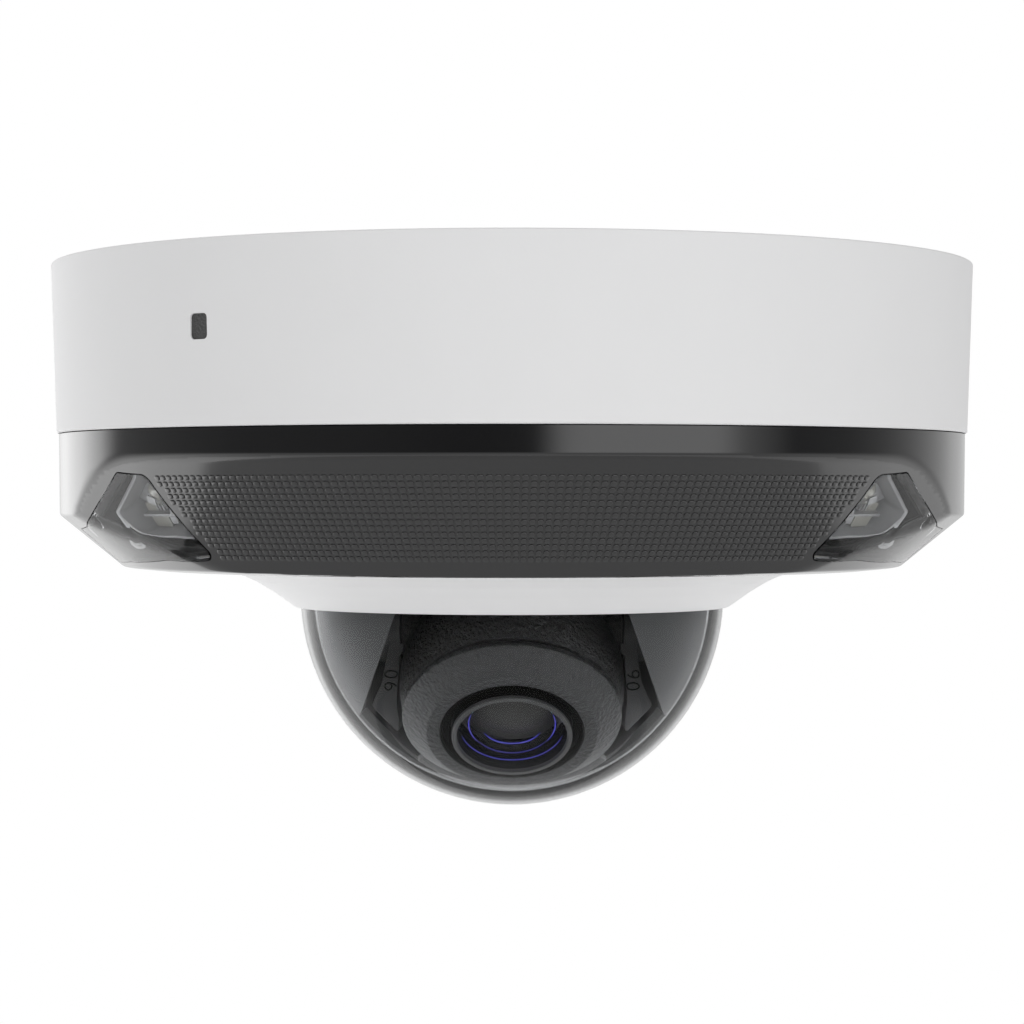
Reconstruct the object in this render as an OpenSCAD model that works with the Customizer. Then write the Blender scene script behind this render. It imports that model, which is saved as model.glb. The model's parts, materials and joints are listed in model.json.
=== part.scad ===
// Ceiling dome camera: white housing, black front cover with two lamp windows,
// and a camera ball that pans, tilts and rolls behind a clear dome.
// Origin at the centre of the ceiling face, +Z up, the front faces -Y.
// Part angles are measured from the front, positive towards +X.

/* [Housing] */
// Radius of the housing at the ceiling
base_rim_r = 55; // [54:0.5:58]
// Radius of the housing at the seam with the front cover
base_seam_r = 54.36; // [53.8:0.02:54.9]
// Height of the white housing
base_h = 19.75; // [19.5:0.05:19.9]
// Thickness of the housing's side wall
base_wall = 2.2; // [1.8:0.1:2.4]
// Thickness of the plate against the ceiling
ceiling_plate_t = 2.4; // [2:0.1:2.6]
// Circle of the four ceiling screws
ceiling_screw_pcd = 84; // [82:1:86]
// Hole for one ceiling screw
ceiling_screw_d = 4.4; // [3.6:0.1:5]
// Outer diameter of the network cable
cable_d = 5.8; // [5:0.1:6.4]
// Angle of the microphone port, left of the front
port_angle = 36.9; // [35:0.1:60]

/* [Front cover] */
// Radius of the black cover below the seam
cover_r = 54.1; // [53.8:0.05:54.3]
// Wall thickness of the cover and its windows
cover_wall = 2; // [1.8:0.1:2.2]
// Level of the upper edge of the sloped front facet
facet_top_z = -23.3; // [-23.8:0.1:-23]
// How fast the facet's circle moves back, per millimetre of drop
facet_shift = 1.38; // [1.3:0.01:1.45]
// How fast the facet's circle grows, per millimetre of drop
facet_growth = 0.506; // [0.45:0.002:0.55]
// Depth of the recess that holds the textured skin of the facet
texture_depth = 0.15; // [0.1:0.05:0.3]

/* [Dome] */
// Outer radius of the clear dome
dome_r = 25.5; // [25.3:0.1:25.6]
// Wall thickness of the clear dome
dome_wall = 1.6; // [1.4:0.1:1.8]
// Level of the dome's centre
dome_z = -38.98; // [-39.2:0.02:-38.8]

/* [Camera ball] */
// Level of the tilt axis
pivot_z = -43.1; // [-43.3:0.1:-42.9]
// Tilt of the lens below the horizontal, as stored
rest_tilt = 46; // [40:1:50]
// Radius of the camera ball
ball_r = 13.3; // [13:0.1:13.4]
// Distance from the tilt axis to the centre of the ball
ball_s = 9; // [8.8:0.1:9.2]
// Diameter of the lens barrel
lens_d = 14; // [13.6:0.1:14.2]
// Radial clearance of the pan, tilt and roll bearings
running_gap = 0.05; // [0.03:0.01:0.08]

/* [Hidden] */
$fn = 96;
eps = 0.01;

white = "whitesmoke";
black = "#2b2c2d";
graphite = "#47494a";
metal = "silver";

// Levels of the stack, from the ceiling down
board_top_z = -17.2;
board_z = -18.6;
chassis_top_z = -19.9;
chassis_z = -21.9;
pan_plate_z = -23.9;
turntable_top_z = -24.3;
turntable_z = -26.3;
post_z = -19.4;
cover_top_z = -20.05;
seal_wall_z = -17.2;
chamfer_top_z = -29.5;
chamfer_z = -35.65;
underside_z = -36.12;
underside_r = 34.2;
// Beyond this angle the facet runs on as a flat face
facet_arc = 50;

// Plan positions
base_inner_r = 52.2;
inlet_y = 27;
inlet_r = 8;
cover_post_r = 41;
cover_post_angles = [100, 180, 260];
chassis_post_r = 33.5;
chassis_post_angles = [0, 120, 240];
board_r = 31.5;
board_screw_r = 28;
board_screw_angles = [60, 170, 300];
pan_screw_r = 22;
card_angle = 140;
reset_angle = 210;
reset_r = 30;
spindle_r = 6;
spindle_bore_r = 3.5;
shroud_r = 23.2;
shroud_wall = 0.8;
ring_sweep_r = 19.6;
cover_opening_r = 31;

// Window outline in its own plane: along the facet, then up the slope, then the corner radius
window_angle = 48;
window_tilt = 32;
window_centre = [40.6, -30.3, -29.7];
window_points = [
  [-4.3, 5.4, 1.6], [1.2, 5.65, 1.2], [10.9, -0.5, 0.4], [12.7, -1.5, 0.6], [17.2, -2.9, 0.5],
  [17.1, -8.9, 0.8], [10.1, -7.1, 3], [-0.7, -5.35, 6], [-9.1, -5.5, 0.9]
];
window_gap = 0.12;
tray_points = [
  [-3.6, 4.2, 1.2], [0.9, 4.4, 1], [8.9, -0.9, 0.8], [8.3, -5.2, 0.8], [0, -4.3, 2], [-7.3, -4.4, 0.8]
];
tray_top_w = -3.1;
tray_floor_w = -7.2;

// Distances along the lens axis from the tilt axis
disc_s = 14.1;
lens_front_s = 17.1;
ball_split_s = 4;
ball_end_s = 12.9;
disc_r = 12.8;
front_r = 9.9;
ball_wall = 1.5;
roll_hub_r = 10.5;
arm_x = 13.45;
pin_r = 2.5;

// ---- helpers ----

// Places its children at an angle from the front, at a radius and a level
module around(angle, r, z = 0) {
  rotate([0, 0, angle]) translate([0, -r, z]) children();
}

// A plain tube between two levels
module tube(r_out, r_in, z_low, z_high) {
  difference() {
    translate([0, 0, z_low]) cylinder(r = r_out, h = z_high - z_low);
    translate([0, 0, z_low - 1]) cylinder(r = r_in, h = z_high - z_low + 2);
  }
}

// A box given by its low and high corners
module block(low, high) {
  translate(low) cube(high - low);
}

// Head up at z = 0, shank down
module screw(head_r, head_h, shank_r, shank_l) {
  difference() {
    union() {
      cylinder(r = head_r, h = head_h);
      translate([0, 0, -shank_l]) cylinder(r = shank_r, h = shank_l + head_h / 2);
    }
    translate([0, 0, head_h * 0.45]) cylinder(r = head_r * 0.5, h = head_h, $fn = 6);
  }
}

function unit(v) = v / norm(v);

// Points of the arc that rounds the corner at b, between a and c
function corner(a, b, c, r, n = 5) =
  let (
    u = unit(a - b),
    v = unit(c - b),
    half = acos(u * v) / 2,
    reach = r / tan(half),
    mid = b + unit(u + v) * r / sin(half),
    p = b + u * reach - mid,
    q = b + v * reach - mid,
    turn = atan2(p[0] * q[1] - p[1] * q[0], p * q)
  )
  [for (i = [0 : n]) let (t = turn * i / n)
    mid + [p[0] * cos(t) - p[1] * sin(t), p[0] * sin(t) + p[1] * cos(t)]];

function flat(p) = [p[0], p[1]];

// Outline with every corner rounded by the third number of its point
function rounded(pts) =
  let (n = len(pts))
  [for (i = [0 : n - 1])
    for (q = corner(flat(pts[(i + n - 1) % n]), flat(pts[i]), flat(pts[(i + 1) % n]), pts[i][2])) q];

// Moves the window's own plane to its place on the right (side = 1) or left (side = -1)
module at_window(side) {
  mirror([side < 0 ? 1 : 0, 0, 0])
    translate(window_centre) rotate([0, 0, window_angle]) rotate([90 + window_tilt, 0, 0]) children();
}

// Column on the window outline, grown or shrunk about its middle
module window_column(factor = 1, low = -9, high = 6) {
  middle = [3, -2.5];
  translate([middle[0], middle[1], low])
    linear_extrude(height = high - low)
      scale([factor, factor]) translate(-middle) polygon(rounded(window_points));
}

// ---- form of the black cover ----

// Body of revolution of the cover, inset by t
module cover_round(t) {
  rotate_extrude($fn = 180) polygon([
    [0, -15], [cover_r - t, -15], [cover_r - 0.1 - t, chamfer_top_z + 0.47 * t],
    [46.5 - 0.4 * t, chamfer_z + 0.96 * t], [42.9 - 0.1 * t, chamfer_z - 0.37 + t],
    [underside_r, underside_z + 0.8 * t], [0, underside_z + 0.8 * t]
  ]);
}

// Slanting round form that cuts the front facet, inset by t
module facet_form(t) {
  top_z = facet_top_z + 0.4 * t;
  r = cover_r - 0.1 - t;
  drop = 14;
  apex_back = facet_shift * (cover_r - 0.1) / facet_growth;
  grow = facet_growth / (cover_r - 0.1);
  arc = [for (a = [-facet_arc : 2.5 : facet_arc]) [r * sin(a), -r * cos(a)]];
  flank = [r * sin(facet_arc) + 45 * cos(facet_arc), 45 * sin(facet_arc) - r * cos(facet_arc)];
  front = concat([[-flank[0], flank[1]]], arc, [flank]);
  back = [[62, 40], [40, 62], [-40, 62], [-62, 40]];
  translate([0, -apex_back, top_z]) mirror([0, 0, 1])
    linear_extrude(height = drop, scale = 1 + grow * drop)
      translate([0, apex_back]) polygon(concat(front, back));
  translate([0, 0, top_z]) cylinder(r = 80, h = 30);
}

module cover_form(t = 0) {
  intersection() {
    cover_round(t);
    facet_form(t);
  }
}

// ---- housing ----

module base_shell() color(white) difference() {
  union() {
    rotate_extrude($fn = 180) polygon([
      [0, 0], [base_rim_r - 0.35, 0], [base_rim_r, -0.35], [base_seam_r, -base_h + 0.2],
      [base_seam_r - 0.2, -base_h], [base_inner_r, -base_h], [base_inner_r, -ceiling_plate_t],
      [0, -ceiling_plate_t]
    ]);
    for (a = cover_post_angles) around(a, cover_post_r, post_z)
      cylinder(r = 3.5, h = -post_z - 1);
    for (a = chassis_post_angles) around(a, chassis_post_r, chassis_top_z)
      cylinder(r = 2.8, h = -chassis_top_z - 1);
    // Stiffening ribs between the cover posts and the wall
    for (a = cover_post_angles) around(a, 0)
      block([-0.8, -base_inner_r - 0.4, -14], [0.8, -cover_post_r - 2, -1]);
  }
  for (i = [0 : 3]) around(45 + 90 * i, ceiling_screw_pcd / 2, -5)
    cylinder(d = ceiling_screw_d, h = 6);
  translate([0, inlet_y, -5]) cylinder(r = inlet_r, h = 6);
  for (a = cover_post_angles) around(a, cover_post_r, post_z - 1) cylinder(r = 2.1, h = 7);
  for (a = chassis_post_angles) around(a, chassis_post_r, chassis_top_z - 1)
    cylinder(r = 1.25, h = 8);
  around(-port_angle, 55, -9.1) rotate([-90, 0, 0]) port_opening(2.4, 2.6, 6);
}

// Rounded rectangle for the microphone port, cut inwards
module port_opening(w, h, depth) {
  r = 0.55;
  translate([0, 0, -2]) linear_extrude(height = depth + 2)
    polygon(rounded([[-w / 2, -h / 2, r], [w / 2, -h / 2, r], [w / 2, h / 2, r], [-w / 2, h / 2, r]]));
}

module cable_grommet() color(black) translate([0, inlet_y, 0]) rotate_extrude() polygon([
  [cable_d / 2, -0.3], [inlet_r - 0.05, -0.3], [inlet_r - 0.05, -ceiling_plate_t], [9.3, -ceiling_plate_t],
  [9.3, -3.8], [5.6, -4.1], [4.6, -7.5], [cable_d / 2 + 0.6, -7.5], [cable_d / 2, -7]
]);

module port_gasket() color(black) around(-port_angle, 51.35, -9.1) {
  cube([5.4, 1.3, 5.4], center = true);
  translate([0, -0.9, 0]) cube([2.1, 0.6, 2.3], center = true);
}

module microphone() color(metal) around(-port_angle, 50.1, -9.1) {
  cube([3.8, 1.1, 3], center = true);
  translate([0, 0.95, 0]) cube([6, 0.8, 5], center = true);
}

module threaded_inserts() color("goldenrod")
  for (a = cover_post_angles) around(a, cover_post_r) tube(2.08, 1.6, post_z + 0.1, post_z + 5.5);

// ---- chassis and electronics ----

module chassis() color(graphite) difference() {
  union() {
    translate([0, 0, chassis_z]) cylinder(r = 35.5, h = chassis_top_z - chassis_z);
    for (a = board_screw_angles) around(a, board_screw_r, chassis_z)
      cylinder(r = 2.6, h = board_z - chassis_z);
    // Cooling ribs outside the pan base
    for (i = [0 : 23]) rotate([0, 0, i * 15 + 7.5]) block([29, -0.5, chassis_z - 1.6], [35, 0.5, chassis_z + 0.5]);
  }
  cylinder_hole(8.2);
  for (a = chassis_post_angles) around(a, chassis_post_r, -30) cylinder(r = 1.3, h = 12);
  for (a = chassis_post_angles) around(a, chassis_post_r, -30) cylinder(r = 3.2, h = 30 + chassis_z);
  for (a = board_screw_angles) around(a, board_screw_r, -30) cylinder(r = 0.95, h = 20);
  around(reset_angle, reset_r, -30) cylinder(r = 1.5, h = 20);
  // Slot for the card socket, open at the rim
  around(card_angle, 0) block([-8, -40, -30], [8, -14.6, -10]);
}

module cylinder_hole(r) translate([0, 0, -30]) cylinder(r = r, h = 20);

module chassis_screws() color(metal)
  for (a = chassis_post_angles) around(a, chassis_post_r, chassis_z) rotate([180, 0, 0])
    screw(2.4, 1.4, 1.2, 8);

module main_board() color("darkgreen") difference() {
  translate([0, 0, board_z]) cylinder(r = board_r, h = board_top_z - board_z);
  for (a = chassis_post_angles) around(a, chassis_post_r, -30) cylinder(r = 3.6, h = 20);
  for (a = board_screw_angles) around(a, board_screw_r, -30) cylinder(r = 1.1, h = 20);
}

module board_screws() color(metal)
  for (a = board_screw_angles) around(a, board_screw_r, board_top_z) screw(1.9, 1.2, 0.9, 3.6);

module network_jack() color(metal) difference() {
  block([-8, -13.5, board_top_z], [8, 8, -4]);
  // Socket for the plug, with the latch channel above it
  block([-5.9, -6, board_top_z + 1.6], [5.9, 9, -7.2]);
  block([-3, -6, -7.4], [3, 9, -5.2]);
}

module jack_contacts() color("gold")
  for (i = [0 : 7]) translate([(i - 3.5) * 1.02, -5.8, board_top_z + 1.7]) rotate([14, 0, 0])
    translate([-0.2, 0.05, 0.12]) cube([0.4, 7, 0.4]);

module transformer() color(black) {
  block([-20, -6, board_top_z], [-11, 6, -11.4]);
  for (i = [0 : 5]) for (x = [-20.9, -10.9]) block([x, -5 + 1.9 * i, board_top_z], [x + 0.8, -4.4 + 1.9 * i, -15.4]);
}

module capacitors() color("slategray")
  for (p = [[14, -18, 3.9, 9], [21, -9, 3.1, 7.5], [-13, -19, 3.1, 7.5], [17.5, 16, 3.1, 6]])
    translate([p[0], p[1], board_top_z]) {
      cylinder(r = p[2], h = p[3]);
      translate([-p[2], -p[2], 0]) cube([2 * p[2], 2 * p[2], 0.5]);
    }

module inductors() color("dimgray") {
  block([11, -9, board_top_z], [16.5, -3.5, -13.6]);
  block([20, 2, board_top_z], [25.5, 7.5, -14]);
  block([-24, -11, board_top_z], [-19.5, -7.5, -14.6]);
}

module memory_chips() color(black) {
  block([-22, 10, board_top_z], [-12, 17, -16.2]);
  block([10.5, 1, board_top_z], [18, 7, -16.2]);
}

module processor() color(black) translate([13.5, -12.5, board_z - 0.8]) block([-6.5, -6.5, 0], [6.5, 6.5, 0.8]);

module thermal_pad() color("lightblue")
  translate([13.5, -12.5, chassis_top_z]) block([-5.8, -5.8, 0], [5.8, 5.8, board_z - 0.8 - chassis_top_z]);

module card_socket() color(metal) around(card_angle, 0) difference() {
  block([-7.2, -30.5, board_z - 2], [7.2, -15.2, board_z]);
  block([-5.7, -31, board_z - 1.5], [5.7, -15.9, board_z - 0.4]);
}

module reset_switch() color(metal)
  around(reset_angle, reset_r, board_z - 0.65) block([-2.1, -1.4, 0], [2.1, 1.4, 0.65]);

module cable_connector() color("ivory") block([-3.2, -2, board_z - 0.7], [3.2, 2, board_z]);

module camera_cable() color(black) translate([0, 0, -27.4]) cylinder(r = 1.7, h = 27.4 + board_z - 0.7);

// ---- pan ----

module pan_base() color(black) difference() {
  union() {
    translate([0, 0, pan_plate_z]) cylinder(r = 28, h = chassis_z - pan_plate_z);
    tube(28, 25.6, turntable_z - 0.3, pan_plate_z + eps);
  }
  cylinder_hole(spindle_r + running_gap);
  for (i = [0 : 2]) around(30 + 120 * i, pan_screw_r, -30) cylinder(r = 1.05, h = 20);
  for (i = [0 : 2]) around(30 + 120 * i, pan_screw_r, pan_plate_z - 1) cylinder(r = 2.2, h = 2.2);
  around(card_angle, 0) block([-8, -40, -30], [8, -26, -22.4]);
}

module pan_base_screws() color(metal)
  for (i = [0 : 2]) around(30 + 120 * i, pan_screw_r, pan_plate_z + 1.2) rotate([180, 0, 0])
    screw(2, 1, 0.95, 0.8);

module turntable() color(graphite) difference() {
  union() {
    translate([0, 0, turntable_z]) cylinder(r = 25.2, h = turntable_top_z - turntable_z);
    translate([0, 0, turntable_z]) cylinder(r = spindle_r, h = -19.7 - turntable_z);
  }
  cylinder_hole(spindle_bore_r);
  // Groove for the clip
  tube(8, 5.4, -21.3, -20.6);
  // Detent notches around the rim
  for (i = [0 : 23]) around(i * 15, 25.4, turntable_z - 1) cylinder(r = 0.6, h = 4, $fn = 24);
}

module spindle_clip() color(metal) difference() {
  tube(7.4, 5.45, -21.2, -20.7);
  block([-2, 0, -22], [2, 9, -20]);
}

// Side outline of one cradle arm, seen from the front
arm_points = [
  [8.3, -27.2, 0.1], [12.2, -27.2, 0.1], [12.2, -41, 0.6], [14.4, -43.8, 0.8], [15, -46.5, 2],
  [15.5, -49.5, 2], [16.7, -52.2, 0.5], [16.3, -52.8, 0.5], [13.8, -55.3, 0.3], [arm_x, -55.3, 0.2],
  [arm_x, -46.5, 0.3], [8.3, -40.5, 0.3]
];

// Room that the ball sweeps as it tilts, with the two pivot bosses
module ball_room() {
  for (a = [15 : 12.5 : 90]) translate([0, -ball_s * cos(a), pivot_z - ball_s * sin(a)])
    sphere(r = ball_r + 0.45);
  translate([-arm_x, 0, pivot_z]) rotate([0, 90, 0]) cylinder(r = 4.4, h = 2 * arm_x);
}

module cradle() color(graphite) difference() {
  union() {
    // Plate under the turntable
    translate([0, 0, -28.2]) cylinder(r = 18.4, h = turntable_z + 28.2);
    // Two arms that carry the tilt axis
    for (side = [-1, 1]) mirror([side < 0 ? 1 : 0, 0, 0]) {
      translate([0, 6, 0]) rotate([90, 0, 0]) linear_extrude(height = 10) polygon(rounded(arm_points));
      translate([arm_x, 0, pivot_z]) rotate([0, 90, 0]) cylinder(r = 4.2, h = 2.6);
    }
    // Hood behind the ball
    difference() {
      intersection() {
        translate([0, 0, pivot_z]) sphere(r = 15.3);
        block([-9, 5, -44.6], [9, 16, -27]);
      }
      translate([0, 0, pivot_z]) sphere(r = 14);
    }
  }
  ball_room();
  for (side = [-1, 1]) translate([side * 15, 0, pivot_z]) rotate([0, 90, 0])
    cylinder(r = pin_r + running_gap, h = 6, center = true);
  cylinder_hole(spindle_bore_r);
}

module tilt_screws() color(metal)
  for (side = [-1, 1]) translate([side * 10.6, 6.05, -33.5]) rotate([-90, 0, 0])
    screw(1.1, 0.9, 0.6, 0);

module shroud() color("gray") difference() {
  union() {
    translate([0, 0, dome_z]) cylinder(r = shroud_r, h = turntable_z - dome_z);
    translate([0, 0, dome_z]) sphere(r = shroud_r, $fn = 128);
  }
  translate([0, 0, dome_z]) cylinder(r = shroud_r - shroud_wall, h = 30);
  translate([0, 0, dome_z]) sphere(r = shroud_r - shroud_wall, $fn = 128);
  // Slot that the lens looks through, flared downwards
  rotate([90, 0, 0]) linear_extrude(height = 30) polygon(slot_points());
  // Room that the roll ring sweeps behind the slot, and the hole under it
  translate([0, 0, pivot_z]) sphere(r = ring_sweep_r, $fn = 128);
  translate([0, 0, -70]) cylinder(r = 11.5, h = 14);
}

// Full slot outline from its left half
function slot_points() =
  let (half = [[10.4, -33], [13.3, -41], [15.4, -46.9], [16.9, -51.1], [17.3, -52.2], [17.7, -52.95],
    [18.3, -53.5], [19.2, -53.9], [24, -54.6], [24, -64]])
  concat([for (p = half) p], [for (i = [len(half) - 1 : -1 : 0]) [-half[i][0], half[i][1]]]);

// ---- camera ball: local +Z runs along the lens axis, from the tilt axis ----

module along_lens() translate([0, 0, pivot_z]) rotate([90 + rest_tilt, 0, 0]) children();

module ball_shell(s_low, s_high) {
  difference() {
    translate([0, 0, ball_s]) sphere(r = ball_r, $fn = 128);
    translate([0, 0, ball_s]) sphere(r = ball_r - ball_wall, $fn = 128);
    translate([0, 0, s_high]) cylinder(r = 20, h = 20);
    translate([0, 0, s_low - 20]) cylinder(r = 20, h = 20);
  }
}

module ball_rear() color(graphite) along_lens() difference() {
  union() {
    ball_shell(-20, ball_split_s);
    for (side = [-1, 1]) rotate([0, side * 90, 0]) {
      cylinder_from(3.8, 9.2, 13.1);
      cylinder_from(pin_r, 9.2, 15.6);
    }
  }
  // Way out for the camera cable
  rotate([-120, 0, 0]) cylinder(r = 3, h = 20);
  ball_screw_set(0.52, 2.5, 6);
}

module cylinder_from(r, z_low, z_high) translate([0, 0, z_low]) cylinder(r = r, h = z_high - z_low);

module ball_front() color(graphite) along_lens() difference() {
  union() {
    ball_shell(ball_split_s, ball_end_s);
    difference() {
      cylinder_from(11.4, 11.3, ball_end_s);
      cylinder_from(roll_hub_r + running_gap, 10, 14);
    }
  }
  ball_screw_set(0.52, 2, 5.5);
  // Seats that clear the two pivot bosses
  for (side = [-1, 1]) rotate([0, side * 90, 0]) cylinder_from(4.2, 9.1, 14);
}

module ball_screws() color(metal) along_lens() ball_screw_set(0.5, 2.6, 5.4);

// Pins, or the holes for them, inside the wall of the ball
module ball_screw_set(r, s_low, s_high)
  for (a = [45 : 90 : 315]) rotate([0, 0, a]) translate([11.5, 0, 0]) cylinder_from(r, s_low, s_high);

module tilt_washers() color(black)
  for (side = [-1, 1]) translate([side * 13.25, 0, pivot_z]) rotate([0, 90, 0])
    difference() {
      cylinder(r = 4, h = 0.25, center = true);
      cylinder(r = pin_r + 0.02, h = 1, center = true);
    }

module roll_ring() color(graphite) along_lens() rotate_extrude($fn = 128) polygon([
  [8.95, 8], [roll_hub_r, 8], [roll_hub_r, 13.2], [disc_r - 0.3, 13.2], [disc_r, 13.5],
  [disc_r, disc_s - 0.15], [disc_r - 0.15, disc_s], [front_r + 0.3, 16.15], [front_r, 16.35],
  [front_r - 0.4, 16.4], [8.4, 16.4], [8.3, 15.2], [7.4, 15.2], [7.4, 12.4], [8.95, 12.2]
]);

module lens_holder() color(black) along_lens() difference() {
  cylinder_from(8.9, 2.3, 12.1);
  cylinder_from(7.05, 4, 13);
  cylinder_from(5.4, 1, 5);
}

module lens_barrel() color(black) along_lens() rotate_extrude($fn = 128) polygon([
  [lens_d / 2, 4.1], [lens_d / 2, lens_front_s - 0.2], [lens_d / 2 - 0.2, lens_front_s],
  [6.45, lens_front_s], [6.4, lens_front_s - 0.1], [6.4, 13.6], [5.2, 13.6], [5.2, 9.4], [4.1, 9.4],
  [4.1, 4.1]
]);

// Meniscus with a domed front
module front_glass() color("lightsteelblue", 0.6) along_lens() difference() {
  intersection() {
    cylinder_from(6.35, 13.7, 18);
    translate([0, 0, 16.7 - 13]) sphere(r = 13, $fn = 128);
  }
  translate([0, 0, 15.1 - 6.4]) sphere(r = 6.4);
}

module inner_lenses() color("lightsteelblue", 0.6) along_lens() {
  intersection() {
    cylinder_from(5.15, 9.5, 13);
    translate([0, 0, 12.9 - 8]) sphere(r = 8);
  }
  intersection() {
    cylinder_from(4.05, 5, 9);
    translate([0, 0, 8.6 - 6]) sphere(r = 6);
  }
}

module image_sensor() color("darkslategray") along_lens() {
  block([-4, -3.4, 2.25], [4, 3.4, 3.1]);
}

module sensor_board() color("darkgreen") along_lens() {
  cylinder_from(8.5, 1.25, 2.2);
  block([-3.4, -5.6, 0.4], [3.4, -3.2, 1.25]);
  block([-2.4, 1, 0.5], [2.4, 5, 1.25]);
}

// ---- front cover ----

module front_cover() color(black) difference() {
  union() {
    difference() {
      cover_form();
      difference() {
        cover_form(cover_wall);
        // Wall that carries the seal, kept out of the hollow
        tube(50.9, 49.2, -22.2, -10);
      }
      // Cut the outer rim down to the seam
      tube(60, 50.9, cover_top_z, 0);
      translate([0, 0, seal_wall_z]) cylinder(r = 60, h = 20);
    }
    // Rim between the seal wall and the outside
    tube(cover_r - 1, 49.3, -22.2, cover_top_z);
    for (a = cover_post_angles) around(a, cover_post_r) cylinder_from(3.9, -35, -21.4);
  }
  cylinder_from_below(cover_opening_r);
  tube(52, 50.25, -19.1, -18.1);
  for (a = cover_post_angles) around(a, cover_post_r) {
    cylinder_from(1.7, -40, -10);
    cylinder_from(3.2, -40, -33.6);
  }
  for (side = [-1, 1]) at_window(side) window_column(1 + window_gap / 6);
  facet_texture_recess();
}

module cylinder_from_below(r) translate([0, 0, -40]) cylinder(r = r, h = 10);

// Thin layer taken off the front of the facet, between the windows
module facet_texture_recess() {
  difference() {
    rotate([0, 0, -90 - 46.9]) rotate_extrude(angle = 93.8, $fn = 180)
      polygon([[38, -34.7], [60, -34.7], [60, -25.05], [48, -25.05]]);
    facet_form(texture_depth);
  }
}

module window_pane(side) {
  intersection() {
    difference() {
      cover_form();
      cover_form(cover_wall);
    }
    at_window(side) window_column();
  }
}

module window_left() color("gainsboro", 0.5) window_pane(-1);

module window_right() color("gainsboro", 0.5) window_pane(1);

// Black sealing frames behind the panes
module window_seals() color(black) difference() {
  for (side = [-1, 1]) intersection() {
    cover_form(cover_wall + 0.05);
    at_window(side) difference() {
      window_column(1.12);
      window_column(0.88, -12, 8);
    }
  }
  cover_form(cover_wall + 0.8);
}

// Cups that hold the lamps behind the panes
module lamp_trays() color("silver") for (side = [-1, 1]) at_window(side) difference() {
  translate([0, 0, tray_floor_w - 0.8]) linear_extrude(height = tray_top_w - tray_floor_w + 0.8)
    polygon(rounded(tray_points));
  translate([0.35, 0, tray_floor_w]) linear_extrude(height = 10)
    scale([0.88, 0.88]) polygon(rounded(tray_points));
}

module lamp_boards() color("darkgreen") for (side = [-1, 1]) at_window(side)
  translate([0.35, 0, tray_floor_w + 0.02]) linear_extrude(height = 0.8)
    scale([0.84, 0.84]) polygon(rounded(tray_points));

// Lamp package with its moulded dome
module lamps() color("khaki") for (side = [-1, 1]) at_window(side)
  for (p = [[0.4, 0.9], [4.4, -2.2]]) translate([p[0], p[1], tray_floor_w + 0.82]) {
    translate([-1.7, -1.7, 0]) cube([3.4, 3.4, 0.8]);
    intersection() {
      translate([0, 0, 0.8]) sphere(r = 1.5);
      cylinder(r = 3, h = 3);
    }
  }

module lamp_parts() color(black) for (side = [-1, 1]) at_window(side)
  translate([0, 0, tray_floor_w + 0.82]) {
    block([-1.6, -3.4, 0], [1.4, -2.4, 0.6]);
    block([-5.2, -3.4, 0], [-3.6, -1.8, 0.9]);
    block([-2.9, -3.2, 0], [-2.3, -2.2, 0.5]);
  }

module cover_seal() color(black) rotate_extrude($fn = 180) translate([51.05, -18.6])
  polygon([for (a = [0 : 30 : 330]) [0.78 * cos(a), 0.48 * sin(a)]]);

module cover_screws() color(metal) for (a = cover_post_angles)
  around(a, cover_post_r, -33.65) rotate([180, 0, 0]) screw(3.1, 1.6, 1.45, 18.2);

module dome_ring() color(white) difference() {
  rotate_extrude($fn = 180) polygon([
    [30.9, -34.5], [30.9, -36.17], [33.9, -36.17], [33.2, -36.45], [32.4, -36.8], [31.7, -37.1], [30.8, -37.5],
    [28.8, -38.7], [27.1, -39.9], [26.15, -40.55], [25.85, -40.65], [25.7, -40.5], [25.7, -38.3],
    [28.4, -38.3], [28.4, -34.5]
  ]);
  for (i = [0 : 5]) around(30 + 60 * i, 29.65, -37) cylinder(r = 0.6, h = 4, $fn = 24);
}

module dome() color("aliceblue", 0.3) {
  rotate_extrude($fn = 180) polygon([
    [dome_r - dome_wall, -36.8], [28.2, -36.8], [28.2, -38.2], [dome_r, -38.2],
    [dome_r, dome_z + eps], [dome_r, dome_z], [dome_r - dome_wall, dome_z]
  ]);
  intersection() {
    difference() {
      translate([0, 0, dome_z]) sphere(r = dome_r, $fn = 180);
      translate([0, 0, dome_z]) sphere(r = dome_r - dome_wall, $fn = 180);
    }
    translate([0, 0, dome_z - 40]) cylinder(r = 40, h = 40);
  }
}

module dome_gasket() color(black) tube(28.15, 24.3, -36.78, -35.6);

module dome_retainer() color(graphite) difference() {
  union() {
    tube(34.5, 24.5, -34.4, -33);
    tube(28.1, 24.5, -35.58, -34);
  }
  for (i = [0 : 5]) around(30 + 60 * i, 29.65, -38) cylinder(r = 0.7, h = 10, $fn = 24);
}

module retainer_screws() color(metal) for (i = [0 : 5])
  around(30 + 60 * i, 29.65, -33) screw(1.3, 0.8, 0.55, 3.4);

// ---- small moving parts ----

module memory_card() color(black) around(card_angle, 0)
  block([-5.5, -33, board_z - 1.35], [5.5, -18, board_z - 0.6]);

module reset_button() color("red") around(reset_angle, reset_r, 0) {
  cylinder_from(1.3, -22.7, -19.65);
  cylinder_from(2, -19.86, -19.62);
}

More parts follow.
